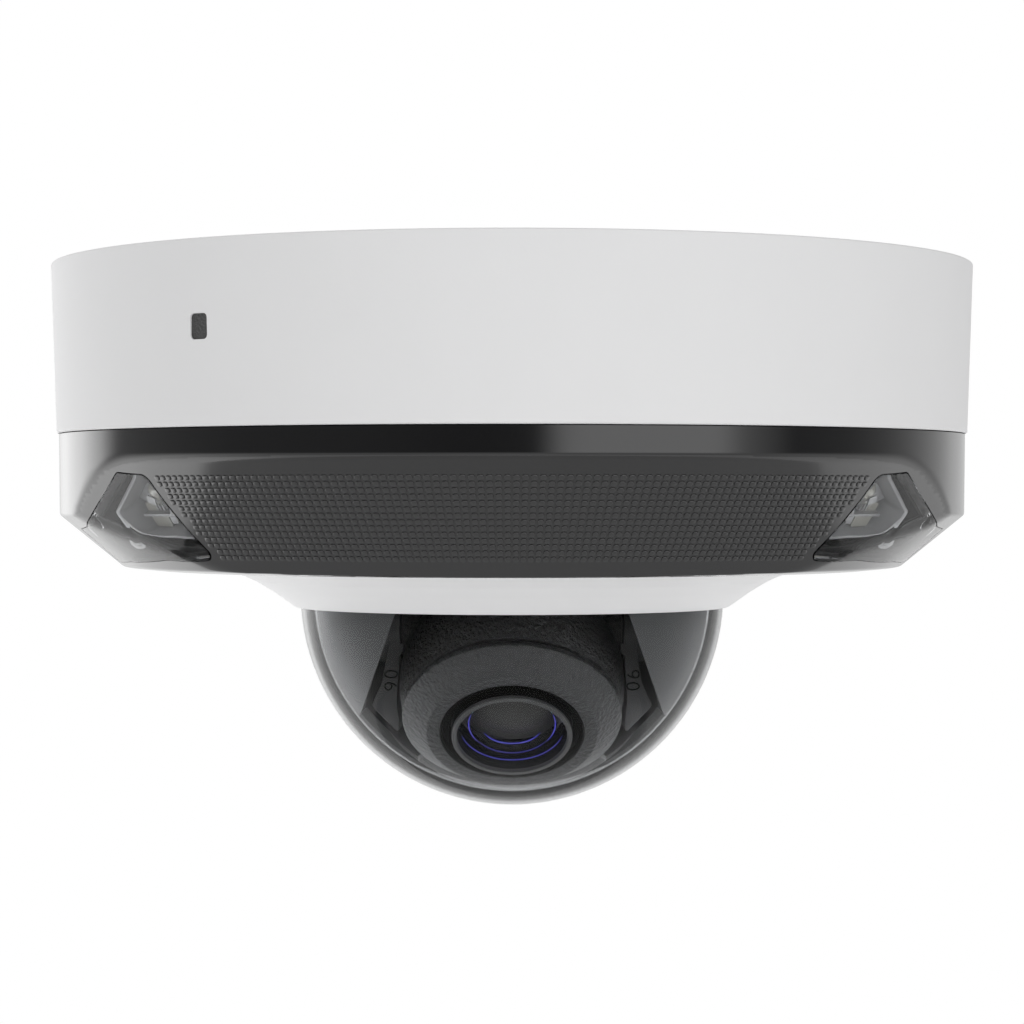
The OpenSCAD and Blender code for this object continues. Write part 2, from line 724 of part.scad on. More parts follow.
base_shell();
cable_grommet();
port_gasket();
microphone();
threaded_inserts();
chassis();
chassis_screws();
main_board();
board_screws();
network_jack();
jack_contacts();
transformer();
capacitors();
inductors();
memory_chips();
processor();
thermal_pad();
card_socket();
reset_switch();
cable_connector();
camera_cable();
pan_base();
pan_base_screws();
turntable();
spindle_clip();
cradle();
tilt_screws();
shroud();
ball_rear();
ball_front();
ball_screws();
tilt_washers();
roll_ring();
lens_holder();
lens_barrel();
front_glass();
inner_lenses();
image_sensor();
sensor_board();
front_cover();
window_left();
window_right();
window_seals();
lamp_trays();
lamp_boards();
lamps();
lamp_parts();
cover_seal();
cover_screws();
dome_ring();
dome();
dome_gasket();
dome_retainer();
retainer_screws();
memory_card();
reset_button();
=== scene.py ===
import json
import math

import bmesh
import bpy
import numpy as np
from mathutils import Matrix, Vector


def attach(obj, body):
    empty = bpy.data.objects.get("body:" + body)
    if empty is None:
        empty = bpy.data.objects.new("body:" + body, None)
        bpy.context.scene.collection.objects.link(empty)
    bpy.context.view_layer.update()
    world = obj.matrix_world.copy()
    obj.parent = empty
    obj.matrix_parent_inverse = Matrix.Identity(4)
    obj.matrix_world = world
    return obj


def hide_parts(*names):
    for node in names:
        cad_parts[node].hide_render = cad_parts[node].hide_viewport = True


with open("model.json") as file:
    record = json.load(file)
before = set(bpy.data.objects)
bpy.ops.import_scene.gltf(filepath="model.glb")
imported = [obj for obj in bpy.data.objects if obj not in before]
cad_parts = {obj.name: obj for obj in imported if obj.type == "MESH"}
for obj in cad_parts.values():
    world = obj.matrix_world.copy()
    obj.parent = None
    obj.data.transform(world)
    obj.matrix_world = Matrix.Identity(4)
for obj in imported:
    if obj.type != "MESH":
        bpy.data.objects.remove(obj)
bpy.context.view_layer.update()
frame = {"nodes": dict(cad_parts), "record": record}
nodes = frame["nodes"]

# Lengths below are in millimetres; the scene is in metres.
MM = 0.001

# Levels and radii of the outside, the same as in the CAD model
SEAM_Z = -20.05
COVER_R, CHAMFER_R = 54.1, 54.0
FACET_TOP = -23.3
FACET_SHIFT, FACET_GROWTH = 1.38, 0.506
FACET_ARC = math.radians(50)
CHAMFER_TOP = -29.5
UNDERSIDE = -36.12
OPENING_R = 31.2
WALL = 2.0
INNER_UNDERSIDE = -34.52
DOME_Z, DOME_R, DOME_WALL = -38.98, 25.5, 1.6
PIVOT_Z = -43.1
# Tilt below the horizontal at rest, in degrees; the ball's centre lies BALL_S along the lens axis
REST_TILT = 46
BALL_S, BALL_R = 9.0, 13.3
UPRIGHT = Matrix.Rotation(math.radians(90), 4, "X")
LENS = Matrix.Translation((0, 0, PIVOT_Z * MM)) @ Matrix.Rotation(math.radians(90 + REST_TILT), 4, "X")

# ------------------------------------------------------------------ helpers


def soften(points, radii, steps=6):
    """Rounds the corners of a closed 2D outline; a radius of 0 keeps the corner."""
    if not hasattr(radii, "__len__"):
        radii = [radii] * len(points)
    made = []
    for i, b in enumerate(points):
        a, c = points[i - 1], points[(i + 1) % len(points)]
        made += corner(a, b, c, radii[i], steps)
    return made


def corner(a, b, c, radius, steps):
    """Points of the round that replaces corner b between its neighbours a and c."""
    a, b, c = (np.array(p, float) for p in (a, b, c))
    if radius <= 0:
        return [tuple(b)]
    u, v = (a - b) / np.linalg.norm(a - b), (c - b) / np.linalg.norm(c - b)
    half = math.acos(max(-1, min(1, u @ v))) / 2
    if half > math.pi / 2 - 0.01:
        return [tuple(b)]
    reach = min(radius / math.tan(half), np.linalg.norm(a - b) * 0.49, np.linalg.norm(c - b) * 0.49)
    radius = reach * math.tan(half)
    middle = b + (u + v) / np.linalg.norm(u + v) * radius / math.sin(half)
    p, q = b + u * reach - middle, b + v * reach - middle
    turn = math.atan2(p[0] * q[1] - p[1] * q[0], p @ q)
    out = []
    for k in range(steps + 1):
        t = turn * k / steps
        out.append((middle[0] + p[0] * math.cos(t) - p[1] * math.sin(t),
                    middle[1] + p[0] * math.sin(t) + p[1] * math.cos(t)))
    return out


def mesh_of(name, verts, faces):
    """A linked mesh object from millimetres."""
    data = bpy.data.meshes.new(name)
    data.from_pydata([tuple(float(c) * MM for c in v) for v in verts], [], faces)
    data.validate()
    made = bpy.data.objects.new(name, data)
    bpy.context.scene.collection.objects.link(made)
    return made


def revolve(name, profile, steps=192, matrix=None):
    """A closed (radius, height) outline turned round local Z."""
    rings, verts = [], []
    for r, z in profile:
        if r < 1e-6:
            verts.append((0, 0, z))
            rings.append([len(verts) - 1] * steps)
        else:
            start = len(verts)
            for k in range(steps):
                a = 2 * math.pi * k / steps
                verts.append((r * math.cos(a), r * math.sin(a), z))
            rings.append(list(range(start, start + steps)))
    faces = []
    n = len(rings)
    for i in range(n):
        a, b = rings[i], rings[(i + 1) % n]
        if a[0] == a[1] and b[0] == b[1]:
            continue
        for k in range(steps):
            m = (k + 1) % steps
            quad = [a[k], a[m], b[m], b[k]]
            clean = [q for j, q in enumerate(quad) if q != quad[j - 1]]
            if len(clean) > 2:
                faces.append(clean)
    made = mesh_of(name, verts, faces)
    tidy_normals(made)
    if matrix is not None:
        made.data.transform(matrix)
    return made


def tidy_normals(obj):
    """Joins coincident points and turns every face outwards."""
    b = bmesh.new()
    b.from_mesh(obj.data)
    bmesh.ops.remove_doubles(b, verts=b.verts, dist=1e-7)
    bmesh.ops.recalc_face_normals(b, faces=b.faces)
    b.to_mesh(obj.data)
    b.free()


def prism(name, outline, low, high, matrix=None):
    """A straight column on a closed outline, between two local heights."""
    n = len(outline)
    verts = [(x, y, low) for x, y in outline] + [(x, y, high) for x, y in outline]
    faces = [list(range(n))[::-1], list(range(n, 2 * n))]
    faces += [[i, (i + 1) % n, n + (i + 1) % n, n + i] for i in range(n)]
    made = mesh_of(name, verts, faces)
    tidy_normals(made)
    if matrix is not None:
        made.data.transform(matrix)
    return made


def box(name, low, high, matrix=None):
    """A block between two opposite corners."""
    (x0, y0, z0), (x1, y1, z1) = low, high
    return prism(name, [(x0, y0), (x1, y0), (x1, y1), (x0, y1)], z0, z1, matrix)


def bake(obj):
    """Replaces the mesh by its evaluated one and drops the modifiers."""
    bpy.context.view_layer.update()
    dg = bpy.context.evaluated_depsgraph_get()
    data = bpy.data.meshes.new_from_object(obj.evaluated_get(dg))
    obj.modifiers.clear()
    old = obj.data
    obj.data = data
    bpy.data.meshes.remove(old)
    return obj


def carve(obj, cutter, operation="DIFFERENCE", solver="EXACT"):
    """Cuts a piece by another, or joins or intersects them; the other is removed."""
    m = obj.modifiers.new("carve", "BOOLEAN")
    m.operation, m.solver, m.object = operation, solver, cutter
    bake(obj)
    drop(cutter)
    return obj


def drop(obj):
    """Removes an object with its mesh."""
    data = obj.data
    bpy.data.objects.remove(obj)
    bpy.data.meshes.remove(data)


def soft_edges(obj, width, angle=30, segments=3):
    """Small rounds along the sharp edges."""
    m = obj.modifiers.new("rounds", "BEVEL")
    m.width, m.segments, m.limit_method = width * MM, segments, "ANGLE"
    m.angle_limit = math.radians(angle)
    m.harden_normals = False
    m.use_clamp_overlap = True
    return bake(obj)


def merge(name, *parts):
    """Joins several pieces' meshes into one object."""
    b = bmesh.new()
    for p in parts:
        b.from_mesh(p.data)
    data = bpy.data.meshes.new(name)
    b.to_mesh(data)
    b.free()
    for p in parts:
        drop(p)
    made = bpy.data.objects.new(name, data)
    bpy.context.scene.collection.objects.link(made)
    return made


def mirrored(obj, name):
    """A copy reflected in the middle plane x = 0."""
    data = obj.data.copy()
    data.transform(Matrix.Diagonal((-1, 1, 1, 1)))
    data.flip_normals()
    made = bpy.data.objects.new(name, data)
    bpy.context.scene.collection.objects.link(made)
    return made


def finish_piece(obj, body, material, replaces=(), sharp=32):
    """Shades, paints and mounts a piece on its CAD body."""
    obj.data.shade_smooth()
    obj.data.set_sharp_from_angle(angle=math.radians(sharp))
    obj.data.materials.clear()
    obj.data.materials.append(material)
    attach(obj, body)
    if replaces:
        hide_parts(*replaces)
    return obj


def around(angle, r=0.0, z=0.0):
    """Matrix of a place at an angle from the front, a radius and a level."""
    return Matrix.Rotation(math.radians(angle), 4, "Z") @ Matrix.Translation((0, -r * MM, z * MM))


# ---------------------------------------------------------------- materials


def material(name, colour, roughness, *, grain=0.0, grain_size=0.3, fine=0.0, fine_size=0.05,
             tone=0.0, tone_size=8.0, rough_vary=0.0, **sockets):
    """A Principled material with noise in its relief, tone and roughness; sizes in millimetres."""
    m = bpy.data.materials.new(name)
    m.use_nodes = True
    tree = m.node_tree
    shader = tree.nodes["Principled BSDF"]
    shader.inputs["Base Color"].default_value = (*colour, 1)
    shader.inputs["Roughness"].default_value = roughness
    for key, value in sockets.items():
        shader.inputs[key.replace("_", " ")].default_value = value
    place = tree.nodes.new("ShaderNodeTexCoord").outputs["Object"]

    def noise(size, detail=2.0, rough=0.5):
        n = tree.nodes.new("ShaderNodeTexNoise")
        n.inputs["Scale"].default_value = 1 / (size * MM)
        n.inputs["Detail"].default_value = detail
        n.inputs["Roughness"].default_value = rough
        tree.links.new(place, n.inputs["Vector"])
        return n.outputs["Fac"]

    normal = None
    for strength, size in ((grain, grain_size), (fine, fine_size)):
        if strength:
            bump = tree.nodes.new("ShaderNodeBump")
            bump.inputs["Strength"].default_value = 1.0
            bump.inputs["Distance"].default_value = strength * MM
            tree.links.new(noise(size), bump.inputs["Height"])
            if normal:
                tree.links.new(normal, bump.inputs["Normal"])
            normal = bump.outputs["Normal"]
    if normal:
        tree.links.new(normal, shader.inputs["Normal"])
    if tone:
        ramp = tree.nodes.new("ShaderNodeMapRange")
        ramp.inputs["To Min"].default_value = 1 - tone
        ramp.inputs["To Max"].default_value = 1 + tone
        tree.links.new(noise(tone_size, 3.0), ramp.inputs["Value"])
        scale = tree.nodes.new("ShaderNodeVectorMath")
        scale.operation = "SCALE"
        scale.inputs[0].default_value = colour
        tree.links.new(ramp.outputs["Result"], scale.inputs["Scale"])
        tree.links.new(scale.outputs["Vector"], shader.inputs["Base Color"])
    if rough_vary:
        ramp = tree.nodes.new("ShaderNodeMapRange")
        ramp.inputs["To Min"].default_value = roughness * (1 - rough_vary)
        ramp.inputs["To Max"].default_value = roughness * (1 + rough_vary)
        tree.links.new(noise(tone_size * 0.5, 4.0), ramp.inputs["Value"])
        tree.links.new(ramp.outputs["Result"], shader.inputs["Roughness"])
    return m


WHITE = material("white_moulding", (0.76, 0.76, 0.765), 0.6, grain=0.010, grain_size=0.45, fine=0.004,
                 fine_size=0.12, tone=0.012, rough_vary=0.08, Specular_IOR_Level=0.15)
RING_WHITE = material("ring_moulding", (0.8, 0.8, 0.805), 0.5, grain=0.004, grain_size=0.3, tone=0.01,
                      rough_vary=0.08)
GLOSS = material("black_gloss", (0.006, 0.006, 0.0065), 0.13, grain=0.0012, grain_size=1.6, tone=0.06,
                 rough_vary=0.12)
FACET = material("black_facet", (0.015, 0.015, 0.0155), 0.2, grain=0.002, grain_size=0.2, tone=0.06,
                 rough_vary=0.1, Specular_IOR_Level=0.75)
FACET_SKIN = material("black_slope", (0.014, 0.014, 0.0145), 0.17, grain=0.0012, grain_size=1.2, tone=0.06,
                      rough_vary=0.12, Specular_IOR_Level=0.68)
SATIN = material("satin_black", (0.022, 0.022, 0.023), 0.38, grain=0.004, grain_size=0.12, tone=0.08,
                 rough_vary=0.1)
# Near black: the own colour of the barrel and the dial numbers, and painted shade on the thin sheet in the
# bezel's recess
DARK = material("near_black_and_recess_shade", (0.004, 0.004, 0.004), 0.7, grain=0.004, grain_size=0.15, tone=0.1,
                Specular_IOR_Level=0.15)
GRAIN = material("grained_grey", (0.031, 0.0312, 0.0315), 0.5, grain=0.4, grain_size=0.5, fine=0.05,
                 fine_size=0.16, tone=0.3, tone_size=0.45, rough_vary=0.2)
SHROUD = material("shroud_grey", (0.06, 0.061, 0.062), 0.5, grain=0.003, grain_size=0.1, tone=0.04,
                  rough_vary=0.08, Specular_IOR_Level=0.3)
CRADLE = material("cradle_grey", (0.065, 0.065, 0.066), 0.55, grain=0.004, grain_size=0.12, tone=0.06,
                  rough_vary=0.1)
BEZEL = material("grained_bezel", (0.034, 0.0345, 0.035), 0.5, grain=0.36, grain_size=0.5, fine=0.05,
                 fine_size=0.16, tone=0.3, tone_size=0.45, rough_vary=0.2)
BARREL = material("barrel_satin", (0.05, 0.05, 0.051), 0.4, grain=0.002, grain_size=0.1, tone=0.06,
                  rough_vary=0.1)
CLEAR = material("dome_clear", (0.97, 0.98, 0.99), 0.0, tone=0.004, Transmission_Weight=1.0, IOR=1.12)
PANE = material("window_clear", (0.93, 0.94, 0.95), 0.015, tone=0.004, Transmission_Weight=1.0, IOR=1.25)
COATED = material("front_coating", (0.96, 0.97, 0.98), 0.0, tone=0.003, Transmission_Weight=1.0, IOR=1.1)
# Inner lens elements as opaque dark grey: painted shade of the dark barrel seen through them, in place of
# clear glass
SHADED_INNER_GLASS = material("inner_glass_painted_shade", (0.055, 0.052, 0.049), 0.35, tone=0.06, Specular_IOR_Level=0.2)
# Glowing colours for the arcs of painted reflection on the lens edges; there is no lamp there
CYAN_REFLECTION_PAINT = material("painted_cyan_reflection", (0.1, 0.35, 0.4), 0.3, tone=0.1, Emission_Color=(0.12, 0.42, 0.5, 1),
                     Emission_Strength=0.35)
BLUE_REFLECTION_PAINT = material("painted_blue_reflection", (0.05, 0.05, 0.4), 0.3, tone=0.1, Emission_Color=(0.08, 0.07, 0.75, 1),
                     Emission_Strength=0.45)
REFLECTOR = material("lamp_reflector", (0.36, 0.36, 0.365), 0.35, grain=0.004, grain_size=0.3, tone=0.05,
                     rough_vary=0.15)
RUBBER = material("black_rubber", (0.012, 0.012, 0.012), 0.7, grain=0.01, grain_size=0.25, tone=0.12)
VENT = material("woven_vent", (0.05, 0.05, 0.05), 0.45, grain=0.12, grain_size=0.3, fine=0.03,
                fine_size=0.1, tone=0.3, tone_size=0.5)
STEEL = material("tinned_steel", (0.56, 0.56, 0.57), 0.28, grain=0.003, grain_size=0.15, tone=0.05,
                 rough_vary=0.2, Metallic=1.0)
SCREW = material("zinc_plate", (0.5, 0.5, 0.49), 0.3, grain=0.004, grain_size=0.1, tone=0.08,
                 rough_vary=0.25, Metallic=1.0)
BLACK_SCREW = material("black_oxide", (0.05, 0.05, 0.05), 0.35, grain=0.004, grain_size=0.1, tone=0.1,
                       rough_vary=0.2, Metallic=1.0)
BRASS = material("turned_brass", (0.72, 0.52, 0.22), 0.25, grain=0.004, grain_size=0.1, tone=0.06,
                 rough_vary=0.2, Metallic=1.0)
GOLD = material("gold_contact", (0.9, 0.66, 0.24), 0.2, grain=0.001, grain_size=0.1, tone=0.05,
                rough_vary=0.1, Metallic=1.0)
BOARD = material("circuit_board", (0.012, 0.10, 0.045), 0.28, grain=0.006, grain_size=0.4, tone=0.18,
                 tone_size=2.0, rough_vary=0.15)
CHIP = material("moulded_chip", (0.018, 0.018, 0.019), 0.55, grain=0.006, grain_size=0.08, tone=0.1)
CAN = material("capacitor_can", (0.62, 0.63, 0.65), 0.25, grain=0.002, grain_size=0.2, tone=0.04,
               rough_vary=0.15, Metallic=1.0)
FERRITE = material("pressed_ferrite", (0.07, 0.07, 0.075), 0.65, grain=0.02, grain_size=0.15, tone=0.15)
CAST = material("cast_aluminium", (0.5, 0.51, 0.52), 0.42, grain=0.02, grain_size=0.25, tone=0.06,
                rough_vary=0.15, Metallic=1.0)
IVORY = material("ivory_plastic", (0.7, 0.66, 0.55), 0.5, grain=0.004, grain_size=0.2, tone=0.04)
RED = material("red_plastic", (0.45, 0.03, 0.03), 0.4, grain=0.004, grain_size=0.2, tone=0.05)
PAD = material("thermal_pad", (0.25, 0.36, 0.45), 0.85, grain=0.02, grain_size=0.3, tone=0.08)
GREY = material("internal_grey", (0.16, 0.165, 0.17), 0.5, grain=0.006, grain_size=0.25, tone=0.05)
PHOSPHOR = material("lamp_body", (0.42, 0.41, 0.36), 0.3, grain=0.002, grain_size=0.1, tone=0.05,
                    Coat_Weight=1.0)

# ------------------------------------------------------ outer form of the cover

# The round part's outline as (radius, level), without the ends that only steer the rounds
cover_profile = soften(
    [(70, SEAM_Z), (COVER_R, SEAM_Z), (CHAMFER_R, CHAMFER_TOP), (46.5, -35.65), (42.9, -36.02),
     (34.2, UNDERSIDE), (20, -36.3), (20, 0)],
    [0, 0, 0.6, 1.2, 0.6, 0, 0, 0])[1:-2]
profile_z = np.array([p[1] for p in cover_profile])[::-1]
profile_r = np.array([p[0] for p in cover_profile])[::-1]
# The facet's form counts from this much above its top edge, and meets the round part this softly
FACET_START, FACET_BLEND = -0.9, 0.35
# How much lower an inset skin follows the outline, as a share of the inset
INSET_DROP = 0.45
# The flat faces beside the facet's arc are worked out over this angle, which takes in the windows
FLAT_SPAN = 1.3


def smooth_min(a, b, k):
    """The lesser of two values, rounded over a distance k where they meet."""
    h = np.maximum(k - np.abs(a - b), 0) / k
    return np.minimum(a, b) - h * h * k / 4


def skin_points(phi, z, inset=0.0):
    """Points of the cover's skin at angles from the front and levels, as rows of x, y, z."""
    phi, z = np.broadcast_arrays(np.asarray(phi, float), np.asarray(z, float))
    level = z - inset * INSET_DROP
    round_r = np.interp(level, profile_z, profile_r) - inset
    fall = FACET_TOP - level
    back = FACET_SHIFT * fall
    reach = CHAMFER_R + FACET_GROWTH * fall
    inside = (back * np.cos(phi)) ** 2 - back * back + reach * reach
    facet_r = -back * np.cos(phi) + np.sqrt(inside) - inset
    # Past the arc the facet runs on as a flat face
    side = np.minimum(np.abs((phi + np.pi) % (2 * np.pi) - np.pi), FACET_ARC + FLAT_SPAN)
    join = np.arctan2(reach * np.sin(FACET_ARC), reach * np.cos(FACET_ARC) - back)
    flat_r = (reach - back * np.cos(FACET_ARC)) / np.cos(side - FACET_ARC) - inset
    facet_r = np.where(side > join, flat_r, facet_r)
    r = np.where(fall <= FACET_START, round_r, smooth_min(round_r, facet_r, FACET_BLEND))
    return np.stack([r * np.sin(phi), -r * np.cos(phi), z], axis=-1)


def skin_normals(phi, z):
    """Outward unit normals of the skin."""
    d = 1e-3
    along = skin_points(phi + d, z) - skin_points(phi - d, z)
    up = skin_points(phi, z + d) - skin_points(phi, z - d)
    n = np.cross(along, up)
    return n / np.linalg.norm(n, axis=-1, keepdims=True)


def skin_levels():
    """Levels of the skin's rows, closer together where the form turns."""
    z = [SEAM_Z, -20.12, -20.6, -21.4, -22.1]
    z += list(np.arange(-22.6, -24.3, -0.12))
    z += list(np.arange(-24.5, -29.0, -0.5))
    z += [-29.2, -29.35, -29.5, -29.65, -29.8]
    z += list(np.arange(-30.3, -34.2, -0.5))
    z += list(np.arange(-34.4, -36.02, -0.1))
    z += [-36.035, -36.06, -36.09, UNDERSIDE]
    return z


def skin_angles():
    """Angles of the skin's columns, closer together over the facet."""
    front = np.radians(np.arange(-87, 87.01, 0.75))
    back = np.radians(np.arange(88.5, 271.6, 1.5))
    return np.concatenate([front, back])


INNER_LEVELS = [SEAM_Z, -22.5, -23.8, -25, -26.5, -28, -29.3, -30.5, -32, -33, -33.8, -34.3]


def grid_faces(rows, columns, closed=True):
    """Quads between rows of points; closed joins the last column to the first."""
    faces = []
    for i in range(rows - 1):
        a, b = i * columns, (i + 1) * columns
        for k in range(columns if closed else columns - 1):
            m = (k + 1) % columns
            faces.append([a + k, a + m, b + m, b + k])
    return faces


def build_skin():
    """The moulded cover: outside, edge of the dome opening, inside and rim at the seam."""
    phis = skin_angles()
    n = len(phis)
    rings = [skin_points(phis, z) for z in skin_levels()]
    edge = ((OPENING_R + 0.2, UNDERSIDE - 0.03), (OPENING_R, UNDERSIDE + 0.15),
            (OPENING_R, INNER_UNDERSIDE))
    for r, z in edge:
        rings.append(np.stack([r * np.sin(phis), -r * np.cos(phis), np.full(n, z)], axis=-1))
    rings += [skin_points(phis, z, WALL * 0.97) for z in reversed(INNER_LEVELS)]
    rings.append(rings[0])
    faces = grid_faces(len(rings) - 1, n)
    last = (len(rings) - 2) * n
    faces += [[last + k, last + (k + 1) % n, (k + 1) % n, k] for k in range(n)]
    return mesh_of("front_cover_skin", np.concatenate(rings[:-1]), faces)


def shell_patch(name, low, high):
    """A closed piece of the cover's wall between two angles in degrees."""
    phis = np.radians(np.arange(low, high, 0.75))
    n = len(phis)
    rings = [skin_points(phis, z) for z in skin_levels() if z < -22.5]
    rings += [skin_points(phis, z, WALL) for z in reversed(INNER_LEVELS[1:])]
    faces = grid_faces(len(rings), n, closed=False)
    last = (len(rings) - 1) * n
    faces += [[last + k, last + k + 1, k + 1, k] for k in range(n - 1)]
    faces.append([i * n for i in range(len(rings))])
    faces.append([i * n + n - 1 for i in range(len(rings))][::-1])
    made = mesh_of(name, np.concatenate(rings), faces)
    tidy_normals(made)
    return made


# Frame of the right window: x along it towards the rear, y up the slope and z out of the cover
WINDOW = (Matrix.Translation(Vector((40.6, -30.3, -29.7)) * MM) @ Matrix.Rotation(math.radians(48), 4, "Z")
          @ Matrix.Rotation(math.radians(122), 4, "X"))
# How far the column that cuts the window reaches into and out of the cover
WINDOW_CUT = -9, 6
WINDOW_POINTS = [(-4.3, 5.4), (1.2, 5.65), (10.9, -0.5), (12.7, -1.5), (17.2, -2.9), (17.1, -8.9),
                 (10.1, -7.1), (-0.7, -5.35), (-9.1, -5.5)]
WINDOW_RADII = [1.6, 1.2, 0.4, 0.6, 0.5, 0.8, 3, 6, 0.9]
TRAY_POINTS = [(-3.6, 4.2), (0.9, 4.4), (8.9, -0.9), (8.3, -5.2), (0, -4.3), (-7.3, -4.4)]
TRAY_RADII = [1.2, 1, 0.8, 0.8, 2, 0.8]
TRAY_TOP, TRAY_FLOOR = -3.1, -7.2


def scaled(outline, factor, middle=(3, -2.5)):
    """An outline grown or shrunk about a point."""
    mx, my = middle
    return [(mx + (x - mx) * factor, my + (y - my) * factor) for x, y in outline]


window_outline = soften(WINDOW_POINTS, WINDOW_RADII)
tray_outline = soften(TRAY_POINTS, TRAY_RADII)

COVER_POST_R, COVER_POST_ANGLES = 41, (100, 180, 260)
# Which faces of the skin count as the sloping face: angle from the front, level and tilt
SLOPE_ARC = math.radians(80)
SLOPE_TOP = -22.9
SLOPE_NORMAL_Z = -0.9, -0.3


def build_cover():
    """The cover's skin with its seal wall, screw bosses and window openings."""
    skin = build_skin()
    tidy_normals(skin)
    inside = [revolve("seal_wall", [
        (49.2, -22.2), (52.6, -22.2), (52.6, -20.1), (50.9, -20.1), (50.9, -19.1), (50.25, -19.1),
        (50.25, -18.1), (50.9, -18.1), (50.9, -17.35), (50.75, -17.2), (49.35, -17.2), (49.2, -17.35)], 192)]
    bores = []
    for a in COVER_POST_ANGLES:
        place = around(a, COVER_POST_R)
        boss = [(0, -35.2), (3.9, -35.2), (3.9, -21.5), (3.8, -21.4), (0, -21.4)]
        inside.append(revolve("boss", boss, 48, place))
        bore = [(0, -40), (3.2, -40), (3.2, -33.6), (1.7, -33.6), (1.7, -10), (0, -10)]
        bores.append(revolve("bore", bore, 48, place))
    skin = carve(skin, merge("inside", *inside), "UNION")
    column = prism("column", scaled(window_outline, 1.02), *WINDOW_CUT, WINDOW)
    bores += [column, mirrored(column, "column_left")]
    skin = carve(skin, merge("bores", *bores))
    skin.name = "front_cover_skin"
    finish_piece(skin, "cover", GLOSS, ["front_cover"], 30)
    # The sloping face is a little less polished than the band above it
    skin.data.materials.append(FACET_SKIN)
    for face in skin.data.polygons:
        x, y, z = face.center
        in_front = abs(math.atan2(x, -y)) < SLOPE_ARC
        if in_front and z < SLOPE_TOP * MM and SLOPE_NORMAL_Z[0] < face.normal.z < SLOPE_NORMAL_Z[1]:
            face.material_index = 1
    return skin


# The raised grain of the facet: rows down the slope, columns round the body
ROWS, ROW_TOP, ROW_STEP = 14, -25.36, 0.664
COLUMN_STEP = math.radians(1.0185)
BUMP_HEIGHT, BUMP_FOOT = 0.12, -0.06
BUMP_SIDES, BUMP_SQUARENESS = 14, 3.2
# Half size as a share of the step, and height, of each ring of a bump from its foot to its top
BUMP_RINGS = [(0.4, BUMP_FOOT), (0.4, 0.0), (0.38, 0.075), (0.34, 0.108), (0.27, BUMP_HEIGHT)]


def row_half(j):
    """Number of columns each side of the middle in row j; the rows end beside the windows."""
    return round(46.2 - 0.36 * j - 0.004 * j * j)


def build_grain():
    """All the raised bumps of the facet as one piece of closed solids."""
    centres = [((i + 0.5) * COLUMN_STEP, ROW_TOP - ROW_STEP * j)
               for j in range(ROWS) for i in range(-row_half(j), row_half(j))]
    phi0, z0 = np.array(centres).T
    turn = np.linspace(0, 2 * math.pi, BUMP_SIDES, endpoint=False)
    power = BUMP_SQUARENESS
    square = (np.abs(np.cos(turn)) ** power + np.abs(np.sin(turn)) ** power) ** (-1 / power)
    across, down = square * np.cos(turn), square * np.sin(turn)
    points = []
    for size, height in BUMP_RINGS:
        phi = phi0[:, None] + across * size * COLUMN_STEP
        z = z0[:, None] + down * size * ROW_STEP
        points.append(skin_points(phi, z) + skin_normals(phi, z) * height)
    verts = np.stack(points, axis=1).reshape(-1, 3)
    per_bump = len(BUMP_RINGS) * BUMP_SIDES
    one = [list(range(BUMP_SIDES)), list(range(per_bump - BUMP_SIDES, per_bump))[::-1]]
    one += [f[::-1] for f in grid_faces(len(BUMP_RINGS), BUMP_SIDES)]
    faces = [[start + v for v in f] for start in range(0, len(verts), per_bump) for f in one]
    made = mesh_of("facet_grain", verts, faces)
    return finish_piece(made, "cover", FACET, sharp=60)


def build_windows():
    """Both panes, cut from the cover's own wall."""
    blank = shell_patch("window_right_pane", 22, 86)
    pane = carve(blank, prism("column", window_outline, *WINDOW_CUT, WINDOW), "INTERSECT")
    soft_edges(pane, 0.16, 40, 2)
    left = mirrored(pane, "window_left_pane")
    for made, node in ((pane, "window_right"), (left, "window_left")):
        finish_piece(made, "cover", PANE, [node], 24)


def in_both_windows(name, body, paint, parts, replaces=(), sharp=32):
    """Merges parts drawn in the right window's frame and adds their mirror image."""
    made = merge(name, *parts)
    made.data.transform(WINDOW)
    other = mirrored(made, name + "_left")
    made = merge(name, made, other)
    return finish_piece(made, body, paint, replaces, sharp)


def cup(outline, floor, top, wall, inner_floor):
    """Open tray on an outline; its hollow is shrunk further than the wall is thick at the far ends,
    so that the walls of the short sides aren't too thin."""
    outer = prism("cup", outline, floor, top)
    middle = (sum(p[0] for p in outline) / len(outline), sum(p[1] for p in outline) / len(outline))
    span = max(abs(p[0] - middle[0]) for p in outline)
    inner = scaled(outline, 1 - wall / span * 1.6, middle)
    carve(outer, prism("hollow", inner, inner_floor, top + 5))
    return outer


# Places of the lamps in the window's frame: the first has a round bulb and a dish round it
LAMPS = (2.2, 0.7), (5.2, -2.7)
LAMP_HALF, LAMP_CORNER, LAMP_HEIGHT = 1.6, 0.3, 0.7
BULB_R, BULB_HEIGHT = 1.5, 1.35
BOARD_LOW, BOARD_HIGH = TRAY_FLOOR + 0.02, TRAY_FLOOR + 0.82
PANEL_OUTLINE = [(-3.2, 3.7), (0.9, 3.9), (7.4, -0.5), (4.6, -2.0), (-5.4, -2.0)]
DISH = [(0, -7), (1.5, -7), (1.9, -5.4), (0, -5.4)]
DISH_RIM = [(1.62, -5.75), (1.95, -5.75), (1.9, -5.45), (1.7, -5.45)]
# Small parts on the board, as opposite corners
SMALL_PARTS = [((-0.9, -1.75, -5.7), (1.3, -1.25, -5.3)), ((0.1, -1.95, -5.7), (0.35, -1.0, -5.2)),
               ((1.2, -3.6, -6.3), (2.6, -2.7, -5.2)), ((1.0, -3.7, -6.3), (1.2, -2.7, -5.0))]
PIN_PLACES = (3.2, 3.8, 4.3)


